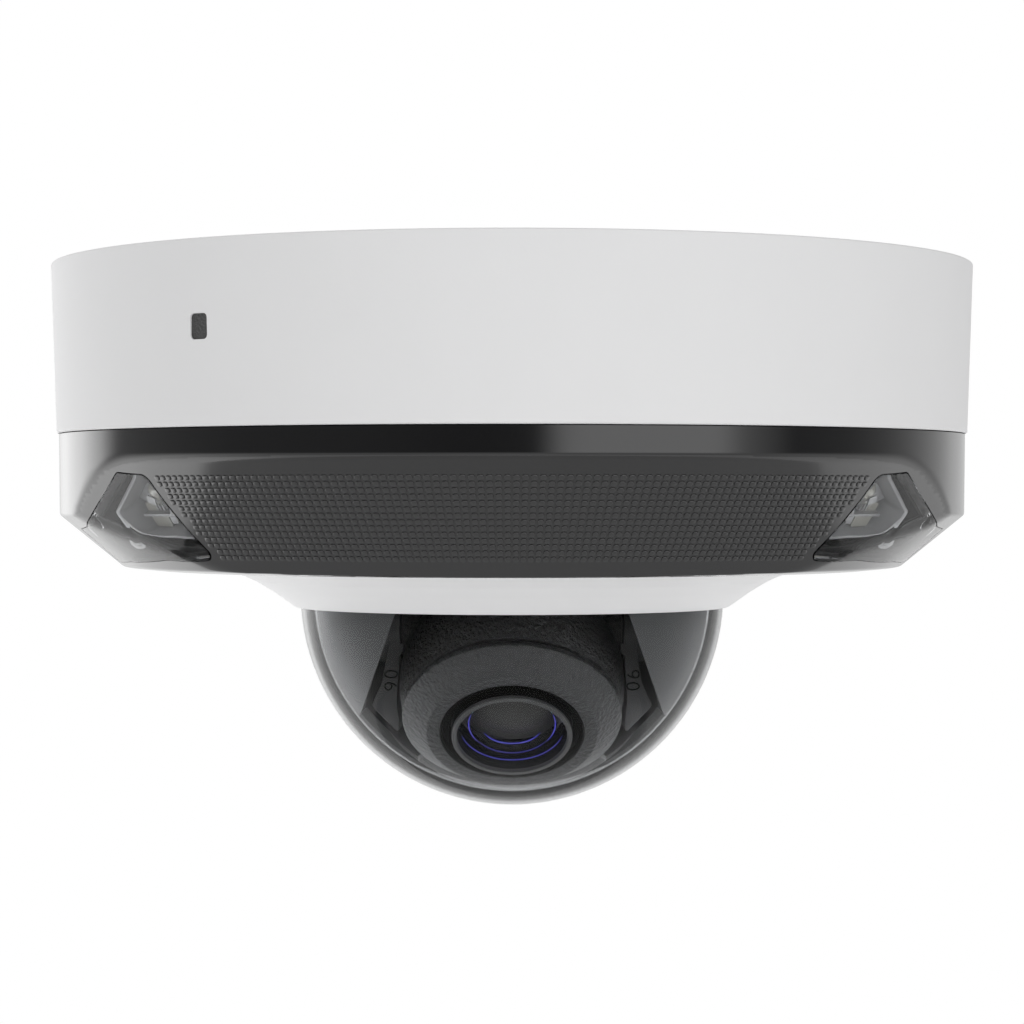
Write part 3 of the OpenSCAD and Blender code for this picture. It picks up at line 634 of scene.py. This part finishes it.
def block_outline(half_x, half_y, radius, steps=6):
    """A rectangle about the origin with rounded corners."""
    corners = [(-half_x, -half_y), (half_x, -half_y), (half_x, half_y), (-half_x, half_y)]
    return soften(corners, radius, steps)


def build_lamps():
    """What is behind each pane: tray, reflector, board, lamps and small parts."""
    tray = cup(tray_outline, TRAY_FLOOR - 0.8, TRAY_TOP, 0.55, TRAY_FLOOR)
    soft_edges(tray, 0.12, 40, 2)
    # A reflector panel round the first lamp, and the ledge under it
    over_lamp = Matrix.Translation(Vector((*LAMPS[0], 0)) * MM)
    panel = prism("panel", PANEL_OUTLINE, -6.1, -5.7)
    carve(panel, revolve("dish", DISH, 48, over_lamp))
    soft_edges(panel, 0.08, 40, 2)
    ledge = box("ledge", (-6.2, -2.45, -6.4), (6.8, -2.15, -4.9))
    rim = revolve("dish_rim", DISH_RIM, 48, over_lamp)
    in_both_windows("lamp_reflectors", "cover", REFLECTOR, [tray, panel, ledge, rim],
                    ["lamp_trays"])

    board = prism("lamp_board", scaled(tray_outline, 0.84, (0.35, 0)), BOARD_LOW, BOARD_HIGH)
    in_both_windows("lamp_board_panels", "cover", BOARD, [board], ["lamp_boards"])

    bulb = [(0, LAMP_HEIGHT)]
    bulb += [(BULB_R * math.cos(t), BULB_HEIGHT * math.sin(t) + LAMP_HEIGHT)
             for t in np.radians(np.arange(0, 90, 9))]
    bulb.append((0, BULB_HEIGHT + LAMP_HEIGHT))
    lamps = []
    for x, y in LAMPS:
        place = Matrix.Translation(Vector((x, y, BOARD_HIGH)) * MM)
        package = block_outline(LAMP_HALF, LAMP_HALF, LAMP_CORNER)
        lamps.append(prism("package", package, 0, LAMP_HEIGHT, place))
        if (x, y) == LAMPS[0]:
            lamps.append(revolve("bulb", bulb, 48, place))
    in_both_windows("lamp_bodies", "cover", PHOSPHOR, lamps, ["lamps"])

    die_place = Matrix.Translation(Vector((2.6, 0.1, TRAY_FLOOR + 2.9)) * MM)
    die = prism("die", block_outline(0.62, 0.5, 0.18), 0, 0.15,
                die_place @ Matrix.Rotation(math.radians(20), 4, "Z"))
    pins = [box("part", low, high) for low, high in SMALL_PARTS]
    pins += [box("pin", (x, -2.0, -5.7), (x + 0.18, -1.2, -5.4)) for x in PIN_PLACES]
    in_both_windows("lamp_small_parts", "cover", REFLECTOR, [die] + pins, ["lamp_parts"])


# ------------------------------------------------------------ white housing

# Microphone port: degrees left of the front, level, half sizes and corner
PORT_ANGLE, PORT_Z = 37.3, -9.35
PORT_HALF_X, PORT_HALF_Z, PORT_CORNER = 1.2, 1.38, 0.5
CHASSIS_POST_R, CHASSIS_POST_ANGLES = 33.5, (0, 120, 240)
CEILING_HOLE_R, CEILING_HOLE_CIRCLE = 2.2, 42
INLET_R, INLET_Y = 8, 27


def post_outline(low, radius):
    """A screw post from the housing's roof down to a level."""
    return [(0, low), (radius - 0.2, low), (radius, low + 0.2), (radius, -1), (0, -1)]


def build_housing():
    """The white housing with its posts, ribs, holes and microphone port."""
    outline = soften(
        [(0, 0), (55, 0), (55, -0.35), (54.36, -19.78), (54.2, -19.93), (52.2, -19.93), (52.2, -2.4),
         (0, -2.4)],
        [0, 0.35, 0, 0.2, 0.12, 0.1, 0.8, 0], 4)
    shell = revolve("housing_shell", outline, 256)
    posts = [revolve("post", post_outline(-19.4, 3.5), 48, around(a, COVER_POST_R))
             for a in COVER_POST_ANGLES]
    posts += [revolve("post", post_outline(-19.9, 2.8), 48, around(a, CHASSIS_POST_R))
              for a in CHASSIS_POST_ANGLES]
    carve(shell, merge("posts", *posts), "UNION")
    ribs = [box("rib", (-0.8, -52.6, -14), (0.8, -43, -1), around(a)) for a in COVER_POST_ANGLES]
    carve(shell, merge("ribs", *ribs), "UNION")
    r, rim = CEILING_HOLE_R, CEILING_HOLE_R + 0.3
    hole = [(0, -5), (r, -5), (r, -0.3), (rim, 0.01), (rim, 1), (0, 1)]
    holes = [revolve("hole", hole, 48, around(45 + 90 * i, CEILING_HOLE_CIRCLE)) for i in range(4)]
    r, rim = INLET_R, INLET_R + 0.2
    inlet = [(0, -5), (r, -5), (r, -0.2), (rim, 0.01), (rim, 1), (0, 1)]
    holes.append(revolve("inlet", inlet, 96, Matrix.Translation((0, INLET_Y * MM, 0))))
    holes += [revolve("bore", [(0, -21), (2.1, -21), (2.1, -13.4), (0, -13.4)], 32, around(a, COVER_POST_R))
              for a in COVER_POST_ANGLES]
    holes += [revolve("bore", [(0, -21), (1.25, -21), (1.25, -12.9), (0, -12.9)], 32,
                      around(a, CHASSIS_POST_R)) for a in CHASSIS_POST_ANGLES]
    port = block_outline(PORT_HALF_X, PORT_HALF_Z, PORT_CORNER, 8)
    aim = around(-PORT_ANGLE, 55, PORT_Z) @ Matrix.Rotation(math.radians(-90), 4, "X")
    carve(shell, merge("holes", *holes))
    carve(shell, prism("port", port, -2, 6, aim), solver="FAST")
    vent = prism("port_vent", scaled(port, 0.99, (0, 0)), 0.5, 1.9, aim)
    finish_piece(vent, "housing", VENT)
    return finish_piece(shell, "housing", WHITE, ["base_shell"], 28)


# ------------------------------------------------------- dome and its ring


def quarter(r, step):
    """The lower quarter of a circle about the dome's centre, as (radius, level), from its equator."""
    return [(r * math.cos(t), DOME_Z - r * math.sin(t)) for t in np.radians(np.arange(0, 90, step))]


def build_dome():
    """The white trim ring and the clear dome."""
    ring = soften(
        [(30.9, -34.5), (30.9, -36.17), (33.9, -36.17), (33.2, -36.45), (32.4, -36.8), (31.7, -37.1),
         (30.8, -37.5), (28.8, -38.7), (27.1, -39.9), (26.15, -40.55), (25.85, -40.65), (25.7, -40.5),
         (25.7, -38.3), (28.4, -38.3), (28.4, -34.5)],
        [0.1, 0.1, 0.05, 0.4, 0.4, 0.6, 0.8, 1.0, 0.8, 0.3, 0.15, 0.1, 0.1, 0.1, 0.1], 4)
    finish_piece(revolve("dome_trim_ring", ring, 256), "cover", RING_WHITE, ["dome_ring"])
    inner_r = DOME_R - DOME_WALL
    outline = [(inner_r, -36.8), (28.2, -36.8), (28.2, -38.2), (DOME_R, -38.2)]
    outline += quarter(DOME_R, 1.5) + [(0, DOME_Z - DOME_R), (0, DOME_Z - inner_r)]
    outline += quarter(inner_r, 1.5)[::-1]
    finish_piece(revolve("clear_dome_shell", outline, 256), "cover", CLEAR, ["dome"], 50)


# ------------------------------------------------- shroud, cradle and ball

SHROUD_R, SHROUD_WALL = 23.65, 1.2
RING_SWEEP_R = 19.6
# Right half of the slot that the lens looks through, seen from the front
SLOT_HALF = [(10.4, -33), (13.3, -41), (15.4, -46.9), (16.9, -51.1), (17.3, -52.2), (17.7, -52.95),
             (18.3, -53.5), (19.2, -53.9), (24, -54.6), (24, -64)]
# Right arm of the cradle, seen from the front
ARM_OUTLINE = soften(
    [(8.3, -27.2), (12.2, -27.2), (12.2, -41), (14.4, -43.8), (15, -46.5), (15.5, -49.5), (16.7, -52.2),
     (16.3, -52.8), (13.8, -55.3), (13.45, -55.3), (13.45, -46.5), (8.3, -40.5)],
    [0.1, 0.1, 0.6, 0.8, 2, 2, 0.5, 0.5, 0.3, 0.2, 0.3, 0.3])


def build_shroud():
    """The grey inner shroud with its slot."""
    inner_r = SHROUD_R - SHROUD_WALL
    outline = [(inner_r, -26.3), (SHROUD_R, -26.3)] + quarter(SHROUD_R, 2)
    outline += [(0, DOME_Z - SHROUD_R), (0, DOME_Z - inner_r)] + quarter(inner_r, 2)[::-1]
    shell = revolve("shroud_shell", outline, 192)
    slot = SLOT_HALF + [(-x, z) for x, z in reversed(SLOT_HALF)]
    carve(shell, prism("slot", slot, 0, 30, UPRIGHT))
    # Room that the roll ring sweeps behind the slot, and the hole under it
    carve(shell, ball_form("sweep", RING_SWEEP_R, (0, 0, PIVOT_Z)))
    carve(shell, revolve("hole", [(0, -70), (11.5, -70), (11.5, -56), (0, -56)], 96))
    soft_edges(shell, 0.18, 45, 3)
    return finish_piece(shell, "pan", SHROUD, ["shroud"], 35)


# Dial numbers: half widths of a digit's outer and inner loops, level of the loop of the nine,
# distance of each digit from the number's middle, relief, scale, and the place on the right arm
DIGIT_OUT, DIGIT_IN = 0.55, 0.36
NINE_LOOP = 0.38
DIGIT_OFFSET = 0.72
MARK_RELIEF = 0.06
MARK_SIZE = Matrix.Diagonal((0.92, 0.86, 1, 1))
MARK_X, MARK_Y, MARK_Z = 14.42, -3.98, -49.3


def ellipse(half_x, half_y, y, angles, x=0.0):
    """Points of an ellipse at some angles about (x, y)."""
    return [(x + half_x * math.cos(t), y + half_y * math.sin(t)) for t in angles]


def numeral(kind):
    """A raised nought or nine, about 1.1 wide and 1.9 high."""
    turn = np.radians(np.arange(0, 360, 15))
    if kind == "0":
        outer, inner = ellipse(DIGIT_OUT, 0.95, 0, turn), ellipse(DIGIT_IN, 0.76, 0, turn)
    else:
        outer = ellipse(DIGIT_OUT, 0.57, NINE_LOOP, turn)
        inner = ellipse(DIGIT_IN, 0.38, NINE_LOOP, turn)
    made = prism("digit", outer, 0, MARK_RELIEF)
    carve(made, prism("counter", inner, -1, MARK_RELIEF + 1))
    if kind == "9":
        sweep = np.radians(np.arange(0, -66, -11))
        outer = ellipse(1.1, 1.45, NINE_LOOP, sweep, DIGIT_OUT - 1.1)
        inner = ellipse(0.95, 1.3, NINE_LOOP, sweep, DIGIT_IN - 0.95)
        made = merge("digit", made, prism("tail", outer + inner[::-1], 0, MARK_RELIEF))
    return made


def build_marks():
    """Dial numbers on the front faces of the cradle arms."""
    marks = []
    for side in (-1, 1):
        for kind, place in (("9", -DIGIT_OFFSET), ("0", DIGIT_OFFSET)):
            digit = numeral(kind)
            spin = Matrix.Rotation(math.radians(-90 * side), 4, "Z")
            up = Matrix.Translation(Vector((side * MARK_X, MARK_Y, MARK_Z)) * MM) @ UPRIGHT
            digit.data.transform(up @ spin @ Matrix.Translation((place * MM, 0, 0)) @ MARK_SIZE)
            marks.append(digit)
    made = merge("cradle_marks", *marks)
    return finish_piece(made, "pan", DARK)


def ball_form(name, r, place, steps=128):
    """A sphere about a place in millimetres."""
    turn = np.radians(np.arange(3, 178, 3))
    outline = [(0, r)] + [(r * math.sin(t), r * math.cos(t)) for t in turn] + [(0, -r)]
    return revolve(name, outline, steps, Matrix.Translation(Vector(place) * MM))


HOOD_OUT, HOOD_IN = 15.3, 14
ARM_INSIDE = 13.45
PIN_R, PIN_END = 2.55, 18
BALL_GAP = 0.45


def build_cradle():
    """The cradle: a disc with two arms and a hood behind the ball."""
    disc = [(3.5, -28.2), (18.2, -28.2), (18.4, -28), (18.4, -26.3), (3.5, -26.3)]
    cradle = revolve("cradle_frame", disc, 128)
    hood = ball_form("hood", HOOD_OUT, (0, 0, PIVOT_Z), 96)
    carve(hood, box("hood_cut", (-9, 5, -44.6), (9, 16, -27)), "INTERSECT")
    carve(hood, ball_form("hood_room", HOOD_IN, (0, 0, PIVOT_Z), 96))
    arms = []
    for side in (1, -1):
        arm = prism("arm", [(side * x, z) for x, z in ARM_OUTLINE], -6, 4, UPRIGHT)
        soft_edges(arm, 0.3, 50, 3)
        boss = revolve("boss", [(0, 0), (4.2, 0), (4.2, 2.4), (4.0, 2.6), (0, 2.6)], 64,
                       Matrix.Translation(Vector((side * ARM_INSIDE, 0, PIVOT_Z)) * MM)
                       @ Matrix.Rotation(math.radians(90 * side), 4, "Y"))
        arms += [arm, boss]
    for part in [hood] + arms:
        carve(cradle, part, "UNION")
    # Room that the ball sweeps as it tilts
    for tilt in np.radians(np.arange(15, 91, 12.5)):
        centre = (0, -BALL_S * math.cos(tilt), PIVOT_Z - BALL_S * math.sin(tilt))
        carve(cradle, ball_form("room", BALL_R + BALL_GAP, centre))
    across = Matrix.Translation((0, 0, PIVOT_Z * MM)) @ Matrix.Rotation(math.radians(90), 4, "Y")
    pin_hole = [(0, -PIN_END), (PIN_R, -PIN_END), (PIN_R, -ARM_INSIDE), (4.4, -ARM_INSIDE),
                (4.4, ARM_INSIDE), (PIN_R, ARM_INSIDE), (PIN_R, PIN_END), (0, PIN_END)]
    carve(cradle, revolve("pin_hole", pin_hole, 64, across))
    carve(cradle, revolve("cable_way", [(0, -40), (3.5, -40), (3.5, -20), (0, -20)], 48))
    return finish_piece(cradle, "pan", CRADLE, ["cradle"], 35)


def build_ball():
    """The two halves of the camera ball, drawn along the lens axis."""
    split, end, wall = 4.0, 12.9, 1.5
    inner_r = BALL_R - wall

    def arc(r, low, high, count):
        """Points of the ball's outline at a radius, between two places along the axis."""
        return [(math.sqrt(max(r * r - (s - BALL_S) ** 2, 0)), s) for s in np.linspace(low, high, count)]

    outline = arc(BALL_R, split, end, 40) + [(10.55, end), (10.55, 11.3)]
    outline += arc(inner_r, 11.3, split, 30)
    front = revolve("ball_front_shell", outline, 256, LENS)
    for side in (1, -1):
        carve(front, revolve("seat", [(0, 9.1), (4.2, 9.1), (4.2, 14), (0, 14)], 64,
                             LENS @ Matrix.Rotation(math.radians(90 * side), 4, "Y")))
    finish_piece(front, "tilt", GRAIN, ["ball_front"], 40)

    low = BALL_S - BALL_R
    outline = arc(BALL_R, low, split, 36) + arc(inner_r, split, BALL_S - inner_r, 30)
    rear = revolve("ball_rear_shell", outline, 192, LENS)
    pivot = [(0, 9.4), (3.8, 9.4), (3.8, 13.1), (2.5, 13.1), (2.5, 15.4), (2.3, 15.6), (0, 15.6)]
    for side in (1, -1):
        place = LENS @ Matrix.Rotation(math.radians(90 * side), 4, "Y")
        carve(rear, revolve("pivot", pivot, 64, place), "UNION")
    carve(rear, revolve("cable_exit", [(0, 0), (3, 0), (3, 20), (0, 20)], 48,
                        LENS @ Matrix.Rotation(math.radians(-120), 4, "X")))
    finish_piece(rear, "tilt", GRAIN, ["ball_rear"], 40)


# Half width of an arc's tips, and its depth
ARC_TIP, ARC_DEPTH = 0.004, 0.02


def on_lens(name, outline, steps, paint, replaces=(), sharp=32):
    """An outline turned round the lens axis, as a finished piece that rolls with it."""
    return finish_piece(revolve(name, outline, steps, LENS), "roll", paint, replaces, sharp)


def cap(radius, top, rim):
    """Points of a domed lens face of a radius, from its top at the axis out to the rim."""
    return [(r, top - radius + math.sqrt(radius * radius - r * r)) for r in np.linspace(0, rim, 22)]


def painted_reflection_arc(radius, s, width, start, end, steps=48):
    """Thin glowing arc of painted reflection on a lens edge, tapering to a tip at both ends; angles from
    local +X.
    """
    verts, faces = [], []
    for k in range(steps + 1):
        t = k / steps
        a = math.radians(start + (end - start) * t)
        half = width / 2 * math.sin(math.pi * t) ** 0.6 + ARC_TIP
        low, high, back = radius - half, radius + half, s - ARC_DEPTH
        for r, z in ((low, s), (high, s), (high, back), (low, back)):
            verts.append((r * math.cos(a), r * math.sin(a), z))
    for k in range(steps):
        a, b = 4 * k, 4 * k + 4
        faces += [[a + i, a + (i + 1) % 4, b + (i + 1) % 4, b + i] for i in range(4)]
    faces += [[3, 2, 1, 0], [4 * steps + i for i in range(4)]]
    made = mesh_of("arc", verts, faces)
    tidy_normals(made)
    made.data.transform(LENS)
    return made


# Arcs of painted reflection on the lens edges, standing for bright surroundings mirrored in them: radius,
# place along the axis, width, start and end in degrees
CYAN_REFLECTION_ARCS = [(6.32, 16.45, 0.07, 20, 160), (5.0, 15.0, 0.09, 22, 158)]
BLUE_REFLECTION_ARCS = [(5.0, 15.0, 0.13, 160, 218), (5.0, 15.0, 0.13, -38, 20), (3.55, 14.9, 0.15, 205, 335),
             (4.75, 15.3, 0.08, 215, 325), (6.05, 15.6, 0.10, 195, 345)]


def build_lens():
    """Bezel disc, a near-black sheet of painted shade in its recess, barrel, glasses with the inner ones
    painted dark as shade, and glowing arcs of painted reflection, as (radius, place along the lens axis).
    """
    ring = soften(
        [(8.95, 8), (10.5, 8), (10.5, 13.2), (12.5, 13.2), (12.8, 13.5), (12.8, 14.1), (9.9, 16.4),
         (8.4, 16.4), (8.3, 15.2), (7.4, 15.2), (7.4, 12.4), (8.95, 12.2)],
        [0.1, 0.1, 0.1, 0.1, 0.2, 0.35, 0.35, 0.15, 0.08, 0.05, 0.05, 0.1], 5)
    on_lens("roll_bezel", ring, 256, BEZEL, ["roll_ring"], 30)
    # A thin sheet over the walls and floor of the bezel's recess, painted near-black as shade
    recess_shade_sheet = [(8.42, 16.36), (8.3, 16.36), (8.2, 15.28), (7.05, 15.28), (7.05, 15.22), (8.26, 15.22)]
    on_lens("bezel_painted_shade", recess_shade_sheet, 192, DARK)
    barrel = soften(
        [(6.96, 4.1), (6.96, 16.75), (6.42, 16.75), (6.4, 13.6), (5.9, 13.6), (5.75, 12.9), (5.2, 12.9),
         (5.2, 9.4), (4.1, 9.4), (4.1, 4.1)],
        [0.1, 0.05, 0, 0, 0.05, 0.05, 0.05, 0, 0, 0], 4)
    on_lens("barrel_tube", barrel, 192, DARK, ["lens_barrel"], 30)
    lip = soften([(7, 16.6), (7, 17.1), (6.45, 17.1), (6.4, 16.6)], [0.02, 0.22, 0.06, 0.02], 5)
    on_lens("barrel_front_ring", lip, 192, BARREL, sharp=40)

    front = cap(13, 16.75, 6.35) + [(6.35, 15.0)] + cap(9, 15.7, 5.3)[::-1]
    on_lens("front_element", front, 192, COATED, ["front_glass"], 40)
    second = cap(11, 14.5, 5.7) + [(5.7, 12.9), (5.15, 12.9), (5.15, 9.5), (0, 9.5)]
    third = cap(6, 8.6, 4.05) + [(4.05, 5.0), (0, 5.0)]
    # The inner elements are opaque and painted dark grey as shade
    inner = merge("inner_elements", revolve("second", second, 128, LENS), revolve("third", third, 128, LENS))
    finish_piece(inner, "roll", SHADED_INNER_GLASS, ["inner_lenses"], 40)

    # Arcs of painted reflection on the lens edges, glowing in their colours
    for name, arcs, paint in (("painted_reflection_cyan", CYAN_REFLECTION_ARCS, CYAN_REFLECTION_PAINT),
                              ("painted_reflection_blue", BLUE_REFLECTION_ARCS, BLUE_REFLECTION_PAINT)):
        finish_piece(merge(name, *[painted_reflection_arc(*arc) for arc in arcs]), "roll", paint)


# ----------------------------------------------------------- make the pieces

build_housing()
build_cover()
build_grain()
build_windows()
build_lamps()
build_dome()
build_shroud()
build_cradle()
build_marks()
build_ball()
build_lens()

SLOT_PAINT = {
    "rubber_black": RUBBER, "can_alu": CAN, "brass": BRASS, "chassis_alu": CAST, "zinc_screw": SCREW,
    "circuit_green": BOARD, "tinned_steel": STEEL, "gold_contact": GOLD, "chip_black": CHIP,
    "ferrite": FERRITE, "rubber_grey": PAD, "ivory_plastic": IVORY, "cable_jacket": RUBBER,
    "satin_black": SATIN, "shroud_grey": SHROUD, "grain_grey": GRAIN, "lens_glass": COATED,
    "black_gloss": GLOSS, "clear_window": PANE, "lamp_silver": REFLECTOR, "lamp_body": PHOSPHOR,
    "black_screw": BLACK_SCREW, "white_ring": RING_WHITE, "clear_dome": CLEAR, "internal_grey": GREY,
    "red_plastic": RED, "white_shell": WHITE,
}
for part in frame["record"]["subparts"]:
    node = nodes[part["node"]]
    node.data.materials.clear()
    node.data.materials.append(SLOT_PAINT[part["material_slot"]])
    node.data.shade_smooth()
    node.data.set_sharp_from_angle(angle=math.radians(32))

# ------------------------------------------------------------ light and view

FLOOR_Z, FLOOR_R, FLOOR_DEPTH = -700, 840, 4
CAMERA_LENS, CAMERA_SENSOR = 100.99, 36
# The camera's distance in front of the axis, its level, and how far below the horizontal it looks
CAMERA_DISTANCE, CAMERA_Z, CAMERA_DIP = 347.3, -27.4, 0.302

# Radiance of the studio's walls, ceiling and floor by compass angle: 0 is the front, positive right
WALLS = [(-180, 1.0), (-165, 1.0), (-151, 2.3), (-134, 3.1), (-123, 2.5), (-115, 0.65), (-112, 0.45),
         (-90, 0.35), (-70, 0.24), (-40, 0.2), (-11, 0.1), (6, 0.12), (13, 2.4), (18, 2.6), (51, 2.6),
         (58, 1.2), (72, 0.2), (91, 0.3), (104, 0.5), (122, 0.9), (142, 1.2), (165, 0.8), (180, 1.0)]
ABOVE = [(-180, 1.1), (-150, 1.5), (-120, 1.1), (-90, 0.1), (-60, 0.1), (-30, 1.1), (0, 1.5), (30, 1.1),
         (60, 0.3), (90, 0.0), (120, 0.0), (150, 0.1), (180, 1.1)]
BELOW = [(-180, 1.0), (-150, 1.7), (-120, 2.6), (-90, 2.1), (-60, 1.1), (-30, 0.95), (0, 1.1), (60, 1.0),
         (90, 1.2), (115, 1.6), (150, 1.3), (180, 1.0)]
TOP_LEVEL = 4.0
# The walls fade into what is above or below between these two elevations
BELT_LOW, BELT_HIGH = math.sin(math.radians(4)), math.sin(math.radians(16))
# Above and below meet within this much of the horizon
HORIZON = 0.02
# What the thick edge of clear parts shows: a white card behind the object, dark round it
CARD_EDGE, CARD_FULL = math.cos(math.radians(15)), math.cos(math.radians(1))
CARD_DARK, CARD_BRIGHT = 0.03, 0.5
# What shows straight through the dome: dim below the horizon, paler level with it
BACKDROP_SPAN = (-0.12, -0.05)
BACKDROP_LOW, BACKDROP_HIGH = 0.07, 0.4
# Most ray events that those two allow, plus a half: none, one clear wall's faces, both sides' faces
NONE_YET, ONE_WALL, WHOLE_DOME = 0.5, 2.5, 4.5


def build_world():
    """Soft light all round, and plain white behind the object."""
    world = bpy.data.worlds.new("studio")
    bpy.context.scene.world = world
    world.use_nodes = True
    tree = world.node_tree
    tree.nodes.clear()

    def node(kind, **settings):
        """A new node with its settings."""
        made = tree.nodes.new(kind)
        for key, value in settings.items():
            setattr(made, key, value)
        return made

    def math_node(operation, *values):
        """Output of a sum on numbers or other outputs."""
        made = node("ShaderNodeMath", operation=operation)
        for socket, value in zip(made.inputs, values):
            if hasattr(value, "links"):
                tree.links.new(value, socket)
            else:
                socket.default_value = value
        return made.outputs[0]

    def blend(share, low, high):
        """The low value at share 0 and the high one at share 1."""
        return math_node("ADD", math_node("MULTIPLY", low, math_node("SUBTRACT", 1.0, share)),
                         math_node("MULTIPLY", high, share))

    def steps(value, low, high, kind="SMOOTHSTEP"):
        """Rises from 0 to 1 as the value goes from low to high."""
        made = node("ShaderNodeMapRange", interpolation_type=kind)
        tree.links.new(value, made.inputs["Value"])
        made.inputs["From Min"].default_value = low
        made.inputs["From Max"].default_value = high
        return made.outputs["Result"]

    place = node("ShaderNodeTexCoord").outputs["Generated"]
    split = node("ShaderNodeSeparateXYZ")
    tree.links.new(place, split.inputs[0])
    x, y, z = split.outputs
    angle = math_node("ARCTAN2", x, math_node("MULTIPLY", y, -1.0))
    turn = math_node("ADD", math_node("MULTIPLY", angle, 0.5 / math.pi), 0.5)

    def round_about(table):
        """Levels of a table, read at the ray's compass angle."""
        ramp = node("ShaderNodeValToRGB")
        tree.links.new(turn, ramp.inputs[0])
        stops = ramp.color_ramp.elements
        while len(stops) < len(table):
            stops.new(0.5)
        for stop, (degrees, level) in zip(stops, table):
            stop.position = degrees / 360 + 0.5
            stop.color = (level / TOP_LEVEL,) * 3 + (1,)
        return math_node("MULTIPLY", ramp.outputs[0], TOP_LEVEL)

    far = blend(steps(z, -HORIZON, HORIZON), round_about(BELOW), round_about(ABOVE))
    radiance = blend(steps(math_node("ABSOLUTE", z), BELT_LOW, BELT_HIGH), round_about(WALLS), far)
    path = node("ShaderNodeLightPath").outputs

    def under(share, count, limit):
        """The share, or nothing where a ray count isn't under the limit."""
        return math_node("MULTIPLY", share, math_node("LESS_THAN", path[count], limit))

    through = under(path["Is Transmission Ray"], "Diffuse Depth", NONE_YET)
    edge = under(through, "Transmission Depth", ONE_WALL)
    card = blend(steps(y, CARD_EDGE, CARD_FULL, "LINEAR"), CARD_DARK, CARD_BRIGHT)
    plain = under(under(through, "Transmission Depth", WHOLE_DOME), "Glossy Depth", NONE_YET)
    behind = blend(steps(z, *BACKDROP_SPAN), BACKDROP_LOW, BACKDROP_HIGH)
    level = blend(edge, blend(plain, radiance, behind), card)
    level = blend(path["Is Camera Ray"], level, 1.0)
    light = node("ShaderNodeBackground")
    light.inputs["Color"].default_value = (1, 1, 1, 1)
    tree.links.new(level, light.inputs["Strength"])
    tree.links.new(light.outputs[0], node("ShaderNodeOutputWorld").inputs[0])


def build_stage():
    """A pale floor, low enough that views from below stay clear of it."""
    low, high, edge = FLOOR_Z - FLOOR_DEPTH, FLOOR_Z, FLOOR_R
    floor = revolve("floor", [(0, low), (edge, low), (edge, high), (0, high)], 96)
    floor.data.materials.append(material("pale_floor", (0.93, 0.93, 0.93), 0.7, tone=0.01, tone_size=40))


def build_camera():
    """The photograph's view: from straight in front, a little below the seam's level."""
    data = bpy.data.cameras.new("camera")
    data.lens, data.sensor_width = CAMERA_LENS, CAMERA_SENSOR
    data.clip_start, data.clip_end = 0.01, 20
    camera = bpy.data.objects.new("camera", data)
    camera.location = (0, -CAMERA_DISTANCE * MM, CAMERA_Z * MM)
    camera.rotation_euler = (math.radians(90 - CAMERA_DIP), 0, 0)
    bpy.context.scene.collection.objects.link(camera)
    bpy.context.scene.camera = camera


build_world()
build_stage()
build_camera()
bpy.context.scene.view_settings.view_transform = "Standard"
